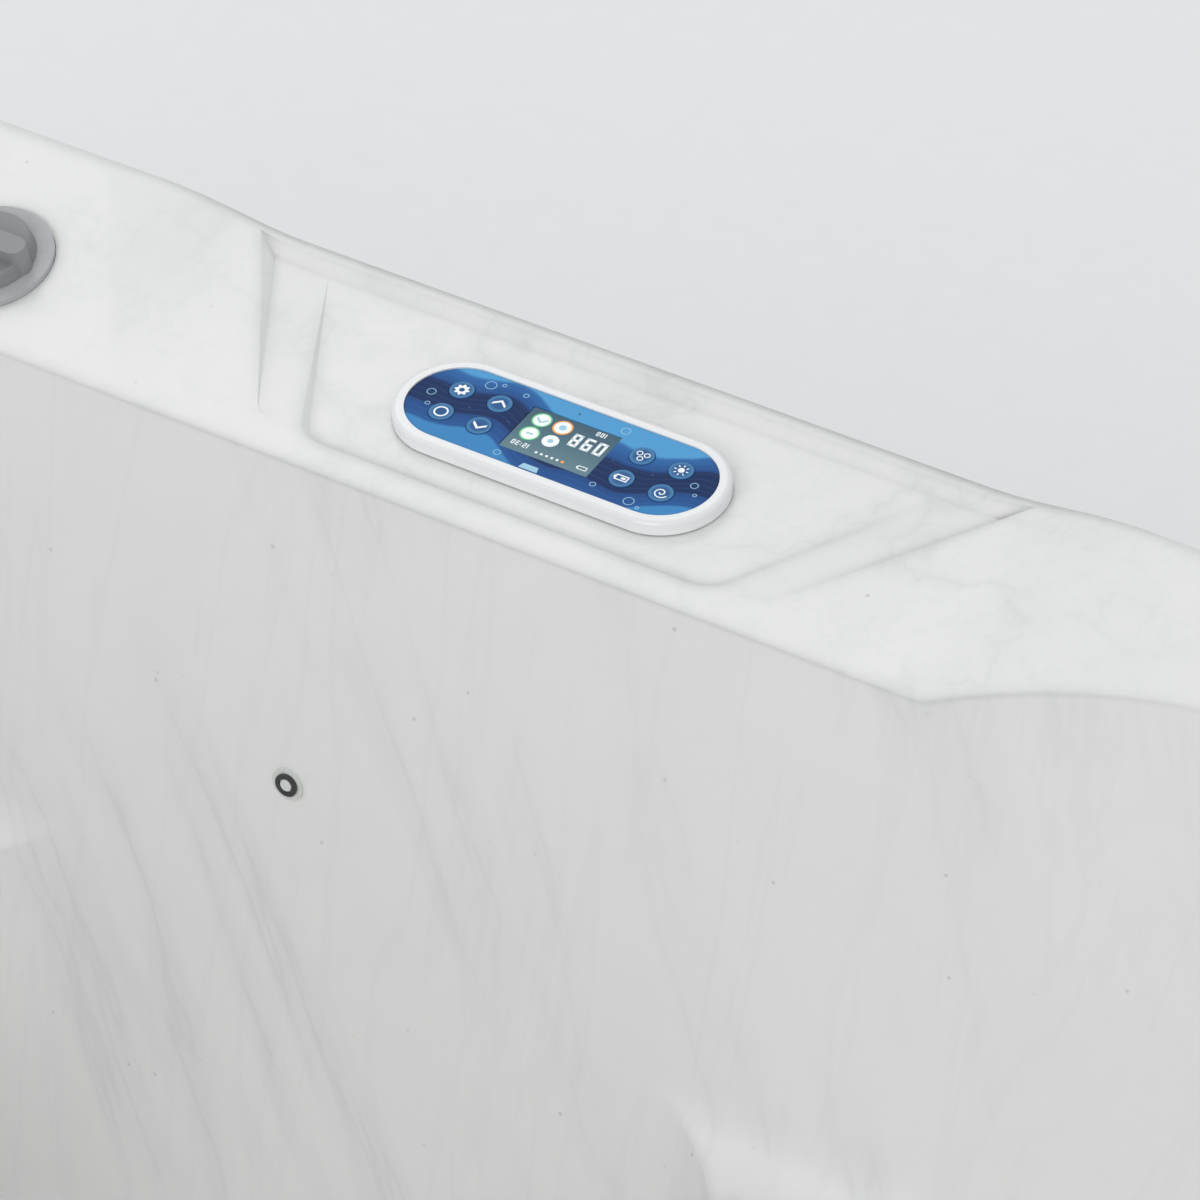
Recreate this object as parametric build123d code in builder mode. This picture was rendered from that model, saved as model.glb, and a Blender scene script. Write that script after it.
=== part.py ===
from build123d import *
import os
from math import atan2, cos, degrees, radians, sin, tan

os.makedirs("parts", exist_ok=True)

# Overall size of the tub
TUB_W = 2100.0            # outside of the rim, both ways
TUB_H = 910.0             # ground to the top of the corner shoulders
WALL = 8.0                # acrylic with its glass-fibre backing
CORNER_R = 130.0          # rim corners in plan
EDGE_R = 26.0             # rolled outer edge of the rim
LIP_Z = 842.0             # bottom of the rim's turned-down lip

# Clearances
GAP = 0.3                 # between curved or moving neighbours
SLIP = 0.05               # radial running clearance of a shaft

# Basin
OPEN_HALF = 857.0         # centre line to the inner edge at a mid-side
OPEN_R = 330.0            # corners of the square part of the basin
INNER_Z = 866.0           # inner edge of the rim
DISH_HALF = 1025.0        # where the rising rim reaches full height
DISH_R = 150.0
DISH_OVER = 1.25          # the dish is cut on past the top at the same slope
WALL_DRAFT = 4.0          # lean of the basin walls, degrees
LOBE_C = 538.0            # centre of each corner lobe, both ways
LOBE_R = 385.0            # lobe radius at the inner edge height
LOBE_DRAFT = 10.8         # lean of the seat backs, degrees
BENCH_Z = 455.0
SEAT_Z = 400.0            # hollow of the corner seats
SEAT_R = 215.0
SEAT_FLARE = 45.0
BENCH_FILLET = 45.0
FOOT_Z = 120.0            # inside floor of the footwell
FOOT_FILLET = 40.0

# Mid-side dips of the rim
MID_Z = 885.0             # outer lip height between the shoulders
DIP_HALF = 290.0
DIP_RUN = 140.0           # length of the slope up to a shoulder
DIP_RISE = 30.0
DIP_BLEND = 260.0

# Recess for the control panel, on the front side
PANEL_Y = 955.0           # centre of the panel
FLOOR_Z = 870.0           # recess floor under the panel centre
FLOOR_TILT = 5.16         # floor falls towards the water, degrees
STRIP_TILT = 3.2          # side strips of the floor, degrees
RECESS_BACK_Y = 1034.0
RECESS_RUN = 147.0        # front to back along the floor
FOOT_BACK = 280.0         # half-widths of the recess
FOOT_FRONT = 192.0
CREASE_BACK = 236.0
CREASE_FRONT = 153.0
RECESS_CORNER = 24.0
RECESS_FLARE = 45.0       # slope of the recess walls, degrees

# Control panel
PANEL_L = 245.0
PANEL_W = 89.0
FACE_L = 228.0
FACE_W = 72.4
BEZEL_H = 11.0
FACE_T = 2.0
FACE_TOP = 10.0           # face above the recess floor
BOARD_T = 1.6
BOARD_TOP = 2.4
HOUSING_D = 30.0
SCREEN_L = 67.3
SCREEN_W = 44.5
KEY_R = 8.6
KEY_TRAVEL = 0.8
KEY_PROUD = 0.5
KEY_X = (54.5, 84.0)
KEY_Y = 12.5
SWITCH_H = 3.0

# Cabinet and frame
CAB_HALF = 1030.0         # outside of the cabinet
CAB_T = 18.0
CAB_TOP = 854.0
POST_SPAN = 150.0         # length of a corner post along each side
POST_R = 90.0             # its rounded corner
JOIN = 2.0                # gap between a post and a panel
GROOVE_PITCH = 110.0
GROOVE_D = 3.0
GROOVE_W = 8.0
PAN_HALF = 1036.0
PAN_T = 6.0
PAN_LIP = 5.0
PAN_H = 46.0
TUBE = 40.0               # square frame tube
TUBE_T = 3.0
FRAME_OUT = 988.0
TOP_RAIL_Z = 800.0        # top of the top rails
DOOR_Z = 52.0             # bottom of the service panel
SHEET_T = 22.0            # insulation sheet
SHEET_BACK = 430.0        # top of the sheet below the filter housing

SIDES = {"front": 0.0, "left": 90.0, "back": 180.0, "right": 270.0}
CORNERS = {"front_right": (1, 1), "front_left": (-1, 1), "back_left": (-1, -1), "back_right": (1, -1)}
SEATS = ("front_right", "back_right", "back_left")
SEAT_CORNERS = [CORNERS[name] for name in SEATS]


def turned(along, out, up, side):
    """A point given along, out of and up one side, as a place in the tub."""
    a = radians(SIDES[side])
    return Vector(along * cos(a) - out * sin(a), along * sin(a) + out * cos(a), up)


def face_plane(along, out, up, side, tilt):
    """A plane on a side's rim, tilted so that its normal leans in over the water."""
    t = radians(tilt)
    return Plane(origin=turned(along, out, up, side), x_dir=turned(1, 0, 0, side),
                 z_dir=turned(0, -sin(t), cos(t), side))


def wall_plane(along, up, side):
    """A plane on the straight basin wall of a side, looking into the basin."""
    t = radians(WALL_DRAFT)
    return Plane(origin=turned(along, basin_half(up), up, side), x_dir=turned(-1, 0, 0, side),
                 z_dir=turned(0, -cos(t), sin(t), side))


def basin_half(z):
    """Half-width of the straight basin walls at a height."""
    return OPEN_HALF - (INNER_Z - z) * tan(radians(WALL_DRAFT))


def lobe_radius(z):
    return LOBE_R - (INNER_Z - z) * tan(radians(LOBE_DRAFT))


def lobe_plane(corner, angle, up):
    """A plane on a seat back, looking at the lobe's axis; angle is from the diagonal."""
    sx, sy = CORNERS[corner]
    a = radians(45 + angle)
    t = radians(LOBE_DRAFT)
    r = lobe_radius(up)
    n = Vector(sx * cos(a), sy * sin(a), 0)
    origin = Vector(sx * LOBE_C, sy * LOBE_C, up) + n * r
    return Plane(origin=origin, x_dir=Vector(-n.Y, n.X, 0), z_dir=n * -cos(t) + Vector(0, 0, sin(t)))


def save(part, name):
    part.label = name
    export_step(part, f"parts/{name}.step")


# Rim: a rounded slab with a dished top, four dips and the panel recess
DISH_TILT = degrees(atan2(TUB_H - INNER_Z, DISH_HALF - OPEN_HALF))
DIP_TILT = degrees(atan2(MID_Z - INNER_Z, DISH_HALF - OPEN_HALF + EDGE_R / 2))


def dip(side, sunk):
    """The shallow saddle between two shoulders, as a prism along the rim's slope."""
    t = radians(DIP_TILT)
    start = OPEN_HALF - TUBE
    low = INNER_Z - sunk - TUBE * tan(t)
    plane = Plane(origin=turned(0, start, low, side), x_dir=turned(-1, 0, 0, side),
                  z_dir=turned(0, cos(t), sin(t), side))
    half = DIP_HALF + sunk
    far = half + 2 * DIP_RUN
    high = 2 * DIP_RISE
    with BuildPart() as saddle:
        with BuildSketch(plane) as outline:
            with BuildLine():
                Polyline((-half, 0), (half, 0), (far, high), (far, 3 * high), (-far, 3 * high), (-far, high),
                         close=True)
            make_face()
            fillet(outline.vertices().group_by(Axis.Y)[0], DIP_BLEND)
        extrude(amount=TUB_W / 2 - start + EDGE_R)
    return saddle.part


def recess(sunk):
    """The trapezoid tray for the control panel: side strips, then the deeper middle."""
    with BuildPart() as tray:
        strips = (STRIP_TILT, FOOT_BACK, FOOT_FRONT)
        middle = (FLOOR_TILT, CREASE_BACK, CREASE_FRONT)
        for tilt, back, front in (strips, middle):
            t = radians(tilt)
            back_z = FLOOR_Z + (RECESS_BACK_Y - PANEL_Y) * tan(radians(FLOOR_TILT)) - sunk
            plane = Plane(origin=(0, RECESS_BACK_Y, back_z), x_dir=(1, 0, 0), z_dir=(0, -sin(t), cos(t)))
            with BuildSketch(plane) as outline:
                with BuildLine():
                    Polyline((-back, 0), (back, 0), (front, -RECESS_RUN), (-front, -RECESS_RUN), close=True)
                make_face()
                fillet(outline.vertices().group_by(Axis.Y)[0], RECESS_CORNER)
                if sunk:
                    offset(amount=sunk)
            extrude(amount=TUBE, taper=-RECESS_FLARE)
    return tray.part


def rim(sunk, low):
    """The rim as a solid, or, sunk by the wall, the hollow under it."""
    half = TUB_W / 2 - sunk
    top = TUB_H - sunk
    with BuildPart() as block:
        with BuildSketch(Plane.XY.offset(low)):
            RectangleRounded(2 * half, 2 * half, CORNER_R - sunk)
        extrude(amount=top - low)
        fillet(block.faces().sort_by(Axis.Z)[-1].edges(), EDGE_R - sunk)
    with BuildPart() as dish:
        with BuildSketch(Plane.XY.offset(INNER_Z - sunk)):
            RectangleRounded(2 * OPEN_HALF, 2 * OPEN_HALF, OPEN_R)
        with BuildSketch(Plane.XY.offset(INNER_Z - sunk + (TUB_H - INNER_Z) * DISH_OVER)):
            half = OPEN_HALF + (DISH_HALF - OPEN_HALF) * DISH_OVER
            RectangleRounded(2 * half, 2 * half, OPEN_R + (DISH_R - OPEN_R) * DISH_OVER)
        loft(ruled=True)
    with BuildPart() as shaped:
        add(block.part)
        add(dish.part, mode=Mode.SUBTRACT)
        for side in SIDES:
            add(dip(side, sunk), mode=Mode.SUBTRACT)
        add(recess(sunk), mode=Mode.SUBTRACT)
    return shaped.part


# Basin: everything the water fills, grown outward by the wall for the outside
FOOT_X = 330.0            # footwell half-width between the benches
FOOT_Y = 470.0            # footwell reach towards the filter side
TOE_LEFT = 420.0          # the footwell flares out below the panel
TOE_RIGHT = 235.0
TOE_Y = 560.0
TOE_RUN = 140.0
FOOT_CORNER = 70.0
LOUNGE_IN = 440.0         # lounger, from its inner to its outer edge
LOUNGE_OUT = 800.0
CUP_R = 38.0
CUP_D = 75.0
CUP_AT = 902.0


def footwell(grown):
    low = FOOT_Z - grown
    inset = (BENCH_Z - low) * tan(radians(WALL_DRAFT)) - grown
    end = basin_half(low) + grown
    left = TOE_LEFT - inset
    right = TOE_RIGHT - inset
    with BuildPart() as well:
        with BuildSketch(Plane.XY.offset(low)) as floor:
            with BuildLine():
                Polyline((-FOOT_X + inset, -FOOT_Y + inset), (FOOT_X - inset, -FOOT_Y + inset),
                         (FOOT_X - inset, TOE_Y - TOE_RUN), (right, TOE_Y), (right, end), (-left, end),
                         (-left, TOE_Y), (-FOOT_X + inset, TOE_Y - TOE_RUN), close=True)
            make_face()
            fillet(floor.vertices(), FOOT_CORNER + grown)
        extrude(amount=BENCH_Z + BENCH_FILLET - low, taper=-WALL_DRAFT)
        fillet(well.edges().group_by(Axis.Z)[0], FOOT_FILLET + grown)
    return well.part


def lounger(grown):
    """The reclining seat along the left side, hollowed below the bench."""
    run = [(-640, BENCH_Z), (-420, 392), (-170, 372), (110, 415), (330, 372), (560, 268), (765, 262)]
    with BuildPart() as couch:
        with BuildSketch(Plane.YZ.offset(-LOUNGE_OUT - grown)) as outline:
            with BuildLine():
                Polyline(*run, (790, BENCH_Z + BENCH_FILLET), (-640, BENCH_Z + BENCH_FILLET), close=True)
            make_face()
            fillet(outline.vertices().filter_by(lambda v: v.Y < BENCH_Z - 1), 40)
            if grown:
                offset(amount=grown)
        extrude(amount=LOUNGE_OUT - LOUNGE_IN + 2 * grown)
    return couch.part


def basin(grown, top):
    """The bathing space with its seats; grown by the wall it is the outside of the shell."""
    low = BENCH_Z - grown
    with BuildPart() as box:
        with BuildSketch(Plane.XY.offset(low)):
            half = basin_half(low) + grown
            RectangleRounded(2 * half, 2 * half, OPEN_R)
        with BuildSketch(Plane.XY.offset(top)):
            half = basin_half(top) + grown
            RectangleRounded(2 * half, 2 * half, OPEN_R)
        loft(ruled=True)
        fillet(box.edges().group_by(Axis.Z)[0], BENCH_FILLET + grown)
    with BuildPart() as lobe:
        Cone(lobe_radius(low) + grown, lobe_radius(top) + grown, top - low,
             align=(Align.CENTER, Align.CENTER, Align.MIN))
        fillet(lobe.edges().group_by(Axis.Z)[0], BENCH_FILLET + grown)
    with BuildPart() as water:
        add(box.part)
        for sx, sy in SEAT_CORNERS:
            add(lobe.part.moved(Location((sx * LOBE_C, sy * LOBE_C, low))))
            with Locations((sx * LOBE_C, sy * LOBE_C, SEAT_Z - grown)):
                Cone(SEAT_R + grown, SEAT_R + SEAT_FLARE + grown, BENCH_Z + BENCH_FILLET - SEAT_Z,
                     align=(Align.CENTER, Align.CENTER, Align.MIN))
        add(footwell(grown))
        add(lounger(grown))
    return water.part


# Seats of the fittings, shared by the shell's holes and the pieces in them
LIGHT_X = -145.0
LIGHT_Z = 611.0
LIGHT_HOLE_R = 6.5
JET_SPREAD = 24.0         # jets either side of a seat's middle, degrees
JET_Z = 620.0
JET_HOLE_R = 30.0
VALVES = (("diverter_front", "front", -437.0, 922.0, 46.0, DISH_TILT),
          ("diverter_right", "right", 0.0, 920.0, 46.0, DIP_TILT),
          ("air_knob_left", "left", 0.0, 920.0, 30.0, DIP_TILT),
          ("air_knob_back", "back", -232.0, 920.0, 30.0, DIP_TILT))
VALVE_HOLE_R = 24.5
VALVE_SINK = 4.0          # depth of the flat seat let into the rim
LID_L = 326.0
LID_W = 138.0
LID_T = 9.0
LID_LIP = 12.0            # lid beyond its hole, all round
LID_OUT = 950.0
MOUTH_L = 224.0
MOUTH_H = 130.0
MOUTH_Z = 765.0
FITTING_HOLE_R = 24.0
FITTING_Z = 200.0
SUCTION_ALONG = (100.0, -250.0)
RETURN_X = 60.0
RETURN_Z = 250.0
LAMP_HOLE_R = 45.0
LAMP_Z = 290.0
DRAIN_HOLE_R = 17.0
DRAIN_Y = 700.0
DRAIN_Z = 112.0


def well_plane(along, up, side, half):
    """A plane on a footwell wall that faces the middle of the footwell."""
    t = radians(WALL_DRAFT)
    out = half - (BENCH_Z - up) * tan(t)
    return Plane(origin=turned(along, out, up, side), x_dir=turned(-1, 0, 0, side),
                 z_dir=turned(0, -cos(t), sin(t), side))


def rim_plane(side, along, out, tilt):
    rise = (out - OPEN_HALF) * tan(radians(tilt))
    return face_plane(along, out, INNER_Z + rise, side, tilt)


panel_plane = face_plane(0, PANEL_Y, FLOOR_Z, "front", FLOOR_TILT)
lid_plane = rim_plane("back", 0, LID_OUT, DIP_TILT)
mouth_plane = wall_plane(0, MOUTH_Z, "back")
return_plane = wall_plane(RETURN_X, RETURN_Z, "front")
suction_planes = [well_plane(along, FITTING_Z, "right", FOOT_X) for along in SUCTION_ALONG]
lamp_plane = well_plane(0, LAMP_Z, "back", FOOT_Y)
light_planes = [wall_plane(LIGHT_X, LIGHT_Z, side) for side in SIDES]
jet_planes = [lobe_plane(corner, angle, JET_Z) for corner in SEATS for angle in (-JET_SPREAD, JET_SPREAD)]
valve_planes = {name: rim_plane(side, along, out, tilt) for name, side, along, out, plate, tilt in VALVES}

# Shell
under_rim = rim(WALL, LIP_Z - 1)
outside = basin(WALL, LIP_Z + WALL)
with BuildPart() as hollow:
    add(under_rim)
    add(basin(WALL, TUB_H + WALL), mode=Mode.SUBTRACT)
    for sx, sy in CORNERS.values():
        with Locations((sx * CUP_AT, sy * CUP_AT, TUB_H)):
            Cylinder(CUP_R + WALL, 2 * (CUP_D + WALL), mode=Mode.SUBTRACT)
with BuildPart() as shell:
    add(rim(0, LIP_Z))
    add(outside)
    add(hollow.part, mode=Mode.SUBTRACT)
    add(basin(0, TUB_H + WALL), mode=Mode.SUBTRACT)
    for sx, sy in CORNERS.values():
        with Locations((sx * CUP_AT, sy * CUP_AT, TUB_H - CUP_D - WALL)):
            Cylinder(CUP_R + WALL, 4 * WALL, align=(Align.CENTER, Align.CENTER, Align.MIN))
        with Locations((sx * CUP_AT, sy * CUP_AT, TUB_H)):
            Cylinder(CUP_R, 2 * CUP_D, mode=Mode.SUBTRACT)
    with BuildSketch(panel_plane):
        SlotOverall(FACE_L, FACE_W)
    extrude(amount=2 * WALL, both=True, mode=Mode.SUBTRACT)
    with BuildSketch(lid_plane):
        RectangleRounded(LID_L - 2 * LID_LIP, LID_W - 2 * LID_LIP, LID_LIP)
    extrude(amount=2 * WALL, both=True, mode=Mode.SUBTRACT)
    with BuildSketch(mouth_plane):
        RectangleRounded(MOUTH_L, MOUTH_H, LID_LIP)
    extrude(amount=2 * WALL, both=True, mode=Mode.SUBTRACT)
    for planes, radius in (([return_plane, *suction_planes], FITTING_HOLE_R), ([lamp_plane], LAMP_HOLE_R),
                           (light_planes, LIGHT_HOLE_R), (jet_planes, JET_HOLE_R)):
        for plane in planes:
            with BuildSketch(plane):
                Circle(radius)
            extrude(amount=2 * WALL, both=True, mode=Mode.SUBTRACT)
    for name, side, along, out, plate, tilt in VALVES:
        with BuildSketch(valve_planes[name].offset(-VALVE_SINK)):
            Circle(plate + GAP)
        extrude(amount=TUBE, mode=Mode.SUBTRACT)
        with BuildSketch(valve_planes[name]):
            Circle(VALVE_HOLE_R)
        extrude(amount=-3 * WALL, mode=Mode.SUBTRACT)
save(shell.part, "shell")

# Base pan, frame and footwell support
with BuildPart() as base_pan:
    with BuildSketch():
        RectangleRounded(2 * PAN_HALF, 2 * PAN_HALF, POST_R + PAN_LIP + 1)
    extrude(amount=PAN_H)
    with BuildSketch(Plane.XY.offset(PAN_T)):
        RectangleRounded(2 * (PAN_HALF - PAN_LIP), 2 * (PAN_HALF - PAN_LIP), POST_R + 1)
    extrude(amount=PAN_H, mode=Mode.SUBTRACT)
save(base_pan.part, "base_pan")

RAIL_AT = FRAME_OUT - TUBE / 2
BASE_TOP = PAN_T + TUBE
POSTS = [(sx * RAIL_AT, sy * RAIL_AT) for sx, sy in CORNERS.values()]
BACK_POST_X = 230.0
POSTS += [(sx * BACK_POST_X, -RAIL_AT) for sx in (-1, 1)] + [(sx * RAIL_AT, 0) for sx in (-1, 1)]


def tube(length, plane):
    """A square frame tube from a plane's origin along its normal."""
    with BuildPart() as bar:
        with BuildSketch(plane):
            Rectangle(TUBE, TUBE)
            Rectangle(TUBE - 2 * TUBE_T, TUBE - 2 * TUBE_T, mode=Mode.SUBTRACT)
        extrude(amount=length)
    return bar.part


def rail(x0, y0, x1, y1, z):
    start = Vector(x0, y0, z)
    run = Vector(x1, y1, z) - start
    return tube(run.length, Plane(origin=start, z_dir=run))


rails = []
for level in (PAN_T + TUBE / 2, TOP_RAIL_Z - TUBE / 2):
    for s in (-1, 1):
        rails.append(rail(s * RAIL_AT, -FRAME_OUT, s * RAIL_AT, FRAME_OUT, level))
inner = FRAME_OUT - TUBE
for s in (-1, 1):
    rails.append(rail(-inner, s * RAIL_AT, inner, s * RAIL_AT, PAN_T + TUBE / 2))
    rails.append(rail(s * (BACK_POST_X - TUBE / 2), -RAIL_AT, s * inner, -RAIL_AT, TOP_RAIL_Z - TUBE / 2))
rails.append(rail(-inner, RAIL_AT, inner, RAIL_AT, TOP_RAIL_Z - TUBE / 2))
save(Compound(children=rails), "frame_rails")

post_h = TOP_RAIL_Z - TUBE - BASE_TOP
posts = [tube(post_h, Plane(origin=(x, y, BASE_TOP), z_dir=(0, 0, 1))) for x, y in POSTS]
save(Compound(children=posts), "frame_posts")

SUPPORT_W = 480.0
SUPPORT_FRONT = 700.0
SUPPORT_BACK = 380.0
with BuildPart() as footwell_support:
    with BuildSketch(Plane.XY.offset(PAN_T)):
        with Locations((0, (SUPPORT_FRONT - SUPPORT_BACK) / 2)):
            RectangleRounded(SUPPORT_W, SUPPORT_FRONT + SUPPORT_BACK, 20)
    extrude(amount=FOOT_Z - WALL - PAN_T)
save(footwell_support.part, "footwell_support")

# Cabinet
PANEL_HALF = CAB_HALF - POST_SPAN - JOIN
SCREW_R = 4.0
SCREW_HEAD_R = 6.5
SCREW_HEAD_T = 2.5
SCREW_IN = 12.0           # screw head to the panel's edge
SCREW_UP = (70.0, 780.0)


def cladding(side, low, high):
    """One grooved panel of the cabinet, standing on a side."""
    count = int((PANEL_HALF - GROOVE_PITCH / 4) // GROOVE_PITCH)
    mid = (low + high) / 2
    with BuildPart() as panel:
        with BuildSketch(Plane.XY.offset(low)):
            with Locations((0, CAB_HALF - CAB_T / 2)):
                Rectangle(2 * PANEL_HALF, CAB_T)
        extrude(amount=high - low)
        chamfer(panel.faces().sort_by(Axis.Y)[-1].edges(), 1.5)
        with Locations(*[(i * GROOVE_PITCH, CAB_HALF, mid) for i in range(-count, count + 1)]):
            Box(GROOVE_W, 2 * GROOVE_D, high - low + GROOVE_W, mode=Mode.SUBTRACT)
    return panel.part.rotate(Axis.Z, SIDES[side])


with BuildPart() as cabinet_left:
    add(cladding("left", PAN_T, CAB_TOP))
    with BuildSketch(Plane.YZ.offset(-CAB_HALF)):
        with Locations((DRAIN_Y, DRAIN_Z)):
            Circle(DRAIN_HOLE_R)
    extrude(amount=CAB_T, mode=Mode.SUBTRACT)
save(cabinet_left.part, "cabinet_left")
save(cladding("right", PAN_T, CAB_TOP), "cabinet_right")
save(cladding("back", PAN_T, CAB_TOP), "cabinet_back")

DOOR_TOP = LIP_Z - 3.0
GRIP_L = 180.0
GRIP_H = 24.0
GRIP_D = 10.0
with BuildPart() as service_panel:
    add(cladding("front", DOOR_Z, DOOR_TOP))
    with BuildSketch(Plane.XZ.offset(-CAB_HALF)):
        with Locations((0, DOOR_TOP - 3 * GRIP_H)):
            SlotOverall(GRIP_L, GRIP_H)
    extrude(amount=GRIP_D, mode=Mode.SUBTRACT)
    batten_t = CAB_HALF - CAB_T - FRAME_OUT
    with Locations((0, FRAME_OUT + batten_t / 2, TOP_RAIL_Z - TUBE / 2)):
        Box(2 * (PANEL_HALF - TUBE), batten_t, TUBE)
save(service_panel.part, "service_panel")

with BuildPart() as corner_posts:
    with BuildSketch(Plane.XY.offset(PAN_T)):
        RectangleRounded(2 * CAB_HALF, 2 * CAB_HALF, POST_R)
        RectangleRounded(2 * (CAB_HALF - CAB_T), 2 * (CAB_HALF - CAB_T), POST_R - CAB_T, mode=Mode.SUBTRACT)
        Rectangle(2 * (CAB_HALF - POST_SPAN), 3 * CAB_HALF, mode=Mode.SUBTRACT)
        Rectangle(3 * CAB_HALF, 2 * (CAB_HALF - POST_SPAN), mode=Mode.SUBTRACT)
    extrude(amount=CAB_TOP - PAN_T)
save(corner_posts.part, "corner_posts")

with BuildPart() as cabinet_screws:
    for side in ("left", "back", "right"):
        for along in (-PANEL_HALF + SCREW_IN, PANEL_HALF - SCREW_IN):
            for up in SCREW_UP:
                head = Plane(origin=turned(along, CAB_HALF, up, side), z_dir=turned(0, 1, 0, side))
                with BuildSketch(head):
                    Circle(SCREW_HEAD_R)
                extrude(amount=SCREW_HEAD_T)
                with BuildSketch(head.offset(SCREW_HEAD_T)):
                    RegularPolygon(SCREW_R / 2, 6)
                extrude(amount=-SCREW_HEAD_T / 2, mode=Mode.SUBTRACT)
save(cabinet_screws.part, "cabinet_screws")

with BuildPart() as insulation_sheets:
    for side, top in (("left", TOP_RAIL_Z), ("right", TOP_RAIL_Z), ("back", SHEET_BACK)):
        with BuildSketch(Plane.XY.offset(BASE_TOP + 4)):
            with Locations(Location(turned(0, FRAME_OUT + SHEET_T / 2, 0, side), (0, 0, SIDES[side]))):
                Rectangle(2 * (PANEL_HALF - TUBE), SHEET_T)
        extrude(amount=top - BASE_TOP - 4)
    with BuildSketch(Plane.YZ.offset(-CAB_HALF)):
        with Locations((DRAIN_Y, DRAIN_Z)):
            Circle(DRAIN_HOLE_R)
    extrude(amount=CAB_T + 2 * TUBE, mode=Mode.SUBTRACT)
save(insulation_sheets.part, "insulation_sheets")

# Control panel, in its own plane: x along the rim, y outward, z off the recess floor
def slab(plane, low, high, *sketch_calls):
    """A plate between two heights above a plane, from one outline call and its cut-outs."""
    with BuildPart() as plate:
        with BuildSketch(plane.offset(low)):
            for call in sketch_calls:
                call()
        extrude(amount=high - low)
    return plate.part


def pill(length, width, mode=Mode.ADD):
    return lambda: SlotOverall(length, width, mode=mode)


FACE_LOW = FACE_TOP - FACE_T
LIP_IN = 3.0              # bezel's inner lip under the face
FLANGE = 2.0
GASKET_T = 1.0
HOUSING_T = 2.5
inner_l = FACE_L - 2 * LIP_IN
inner_w = FACE_W - 2 * LIP_IN
with BuildPart() as panel_bezel:
    with BuildSketch(panel_plane.offset(GASKET_T)):
        SlotOverall(PANEL_L, PANEL_W)
    extrude(amount=BEZEL_H - GASKET_T)
    rim_edges = panel_bezel.faces().sort_by(Axis.Z)[-1].edges()
    fillet(rim_edges, 3.5)
    with BuildSketch(panel_plane):
        SlotOverall(inner_l, inner_w)
    extrude(amount=2 * BEZEL_H, mode=Mode.SUBTRACT)
    with BuildSketch(panel_plane.offset(FACE_LOW)):
        SlotOverall(FACE_L + 2 * GAP, FACE_W + 2 * GAP)
    extrude(amount=BEZEL_H, mode=Mode.SUBTRACT)
save(panel_bezel.part, "panel_bezel")

gasket_hole = pill(FACE_L, FACE_W, Mode.SUBTRACT)
panel_gasket = slab(panel_plane, 0, GASKET_T, pill(PANEL_L - FLANGE, PANEL_W - FLANGE), gasket_hole)
save(panel_gasket, "panel_gasket")

with BuildPart() as panel_housing:
    with BuildSketch(panel_plane.offset(-HOUSING_D)):
        SlotOverall(inner_l, inner_w)
    extrude(amount=HOUSING_D)
    with BuildSketch(panel_plane.offset(-HOUSING_D + HOUSING_T)):
        SlotOverall(inner_l - 2 * HOUSING_T, inner_w - 2 * HOUSING_T)
    extrude(amount=HOUSING_D, mode=Mode.SUBTRACT)
    with BuildSketch(panel_plane):
        SlotOverall(FACE_L - 2 * FLANGE, FACE_W - 2 * FLANGE)
        SlotOverall(inner_l - 2 * HOUSING_T, inner_w - 2 * HOUSING_T, mode=Mode.SUBTRACT)
    extrude(amount=GASKET_T)
save(panel_housing.part, "panel_housing")

KEYS = {"key_settings": (-KEY_X[1], KEY_Y), "key_light": (-KEY_X[1], -KEY_Y), "key_up": (-KEY_X[0], KEY_Y),
        "key_down": (-KEY_X[0], -KEY_Y), "key_jets": (KEY_X[0], KEY_Y), "key_heat": (KEY_X[1], KEY_Y),
        "key_timer": (KEY_X[0], -KEY_Y), "key_air": (KEY_X[1], -KEY_Y)}
key_spots = list(KEYS.values())
SCREEN_T = 3.0
SCREEN_SINK = 0.5
KEY_T = 2.6
STEM_R = 2.0
BOARD_IN = 6.0
SWITCH = 6.0


def screen_cut():
    Rectangle(SCREEN_L, SCREEN_W, mode=Mode.SUBTRACT)


def key_cuts():
    with Locations(*key_spots):
        Circle(KEY_R + GAP, mode=Mode.SUBTRACT)


save(slab(panel_plane, FACE_LOW, FACE_TOP, pill(FACE_L, FACE_W), screen_cut, key_cuts), "panel_face")
board_outline = pill(inner_l - BOARD_IN, inner_w - BOARD_IN)
save(slab(panel_plane, BOARD_TOP - BOARD_T, BOARD_TOP, board_outline), "panel_board")

with BuildPart() as panel_screen:
    with BuildSketch(panel_plane.offset(BOARD_TOP)):
        Rectangle(SCREEN_L + 4, SCREEN_W + 4)
    extrude(amount=FACE_LOW - BOARD_TOP)
    with BuildSketch(panel_plane.offset(FACE_LOW)):
        Rectangle(SCREEN_L - 2 * GAP, SCREEN_W - 2 * GAP)
    extrude(amount=FACE_T - SCREEN_SINK)
save(panel_screen.part, "panel_screen")

with BuildPart() as panel_switches:
    with BuildSketch(panel_plane.offset(BOARD_TOP)):
        with Locations(*key_spots):
            Rectangle(SWITCH, SWITCH)
    extrude(amount=SWITCH_H)
save(panel_switches.part, "panel_switches")

key_bottom = FACE_TOP + KEY_PROUD - KEY_T
stem_bottom = BOARD_TOP + SWITCH_H + KEY_TRAVEL + GAP / 2
for name, spot in KEYS.items():
    with BuildPart() as key:
        with BuildSketch(panel_plane.offset(key_bottom)):
            with Locations(spot):
                Circle(KEY_R)
        extrude(amount=KEY_T)
        fillet(key.faces().sort_by(Axis.Z)[-1].edges(), 0.4)
        with BuildSketch(panel_plane.offset(stem_bottom)):
            with Locations(spot):
                Circle(STEM_R)
        extrude(amount=key_bottom - stem_bottom)
    save(key.part, name)

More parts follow.
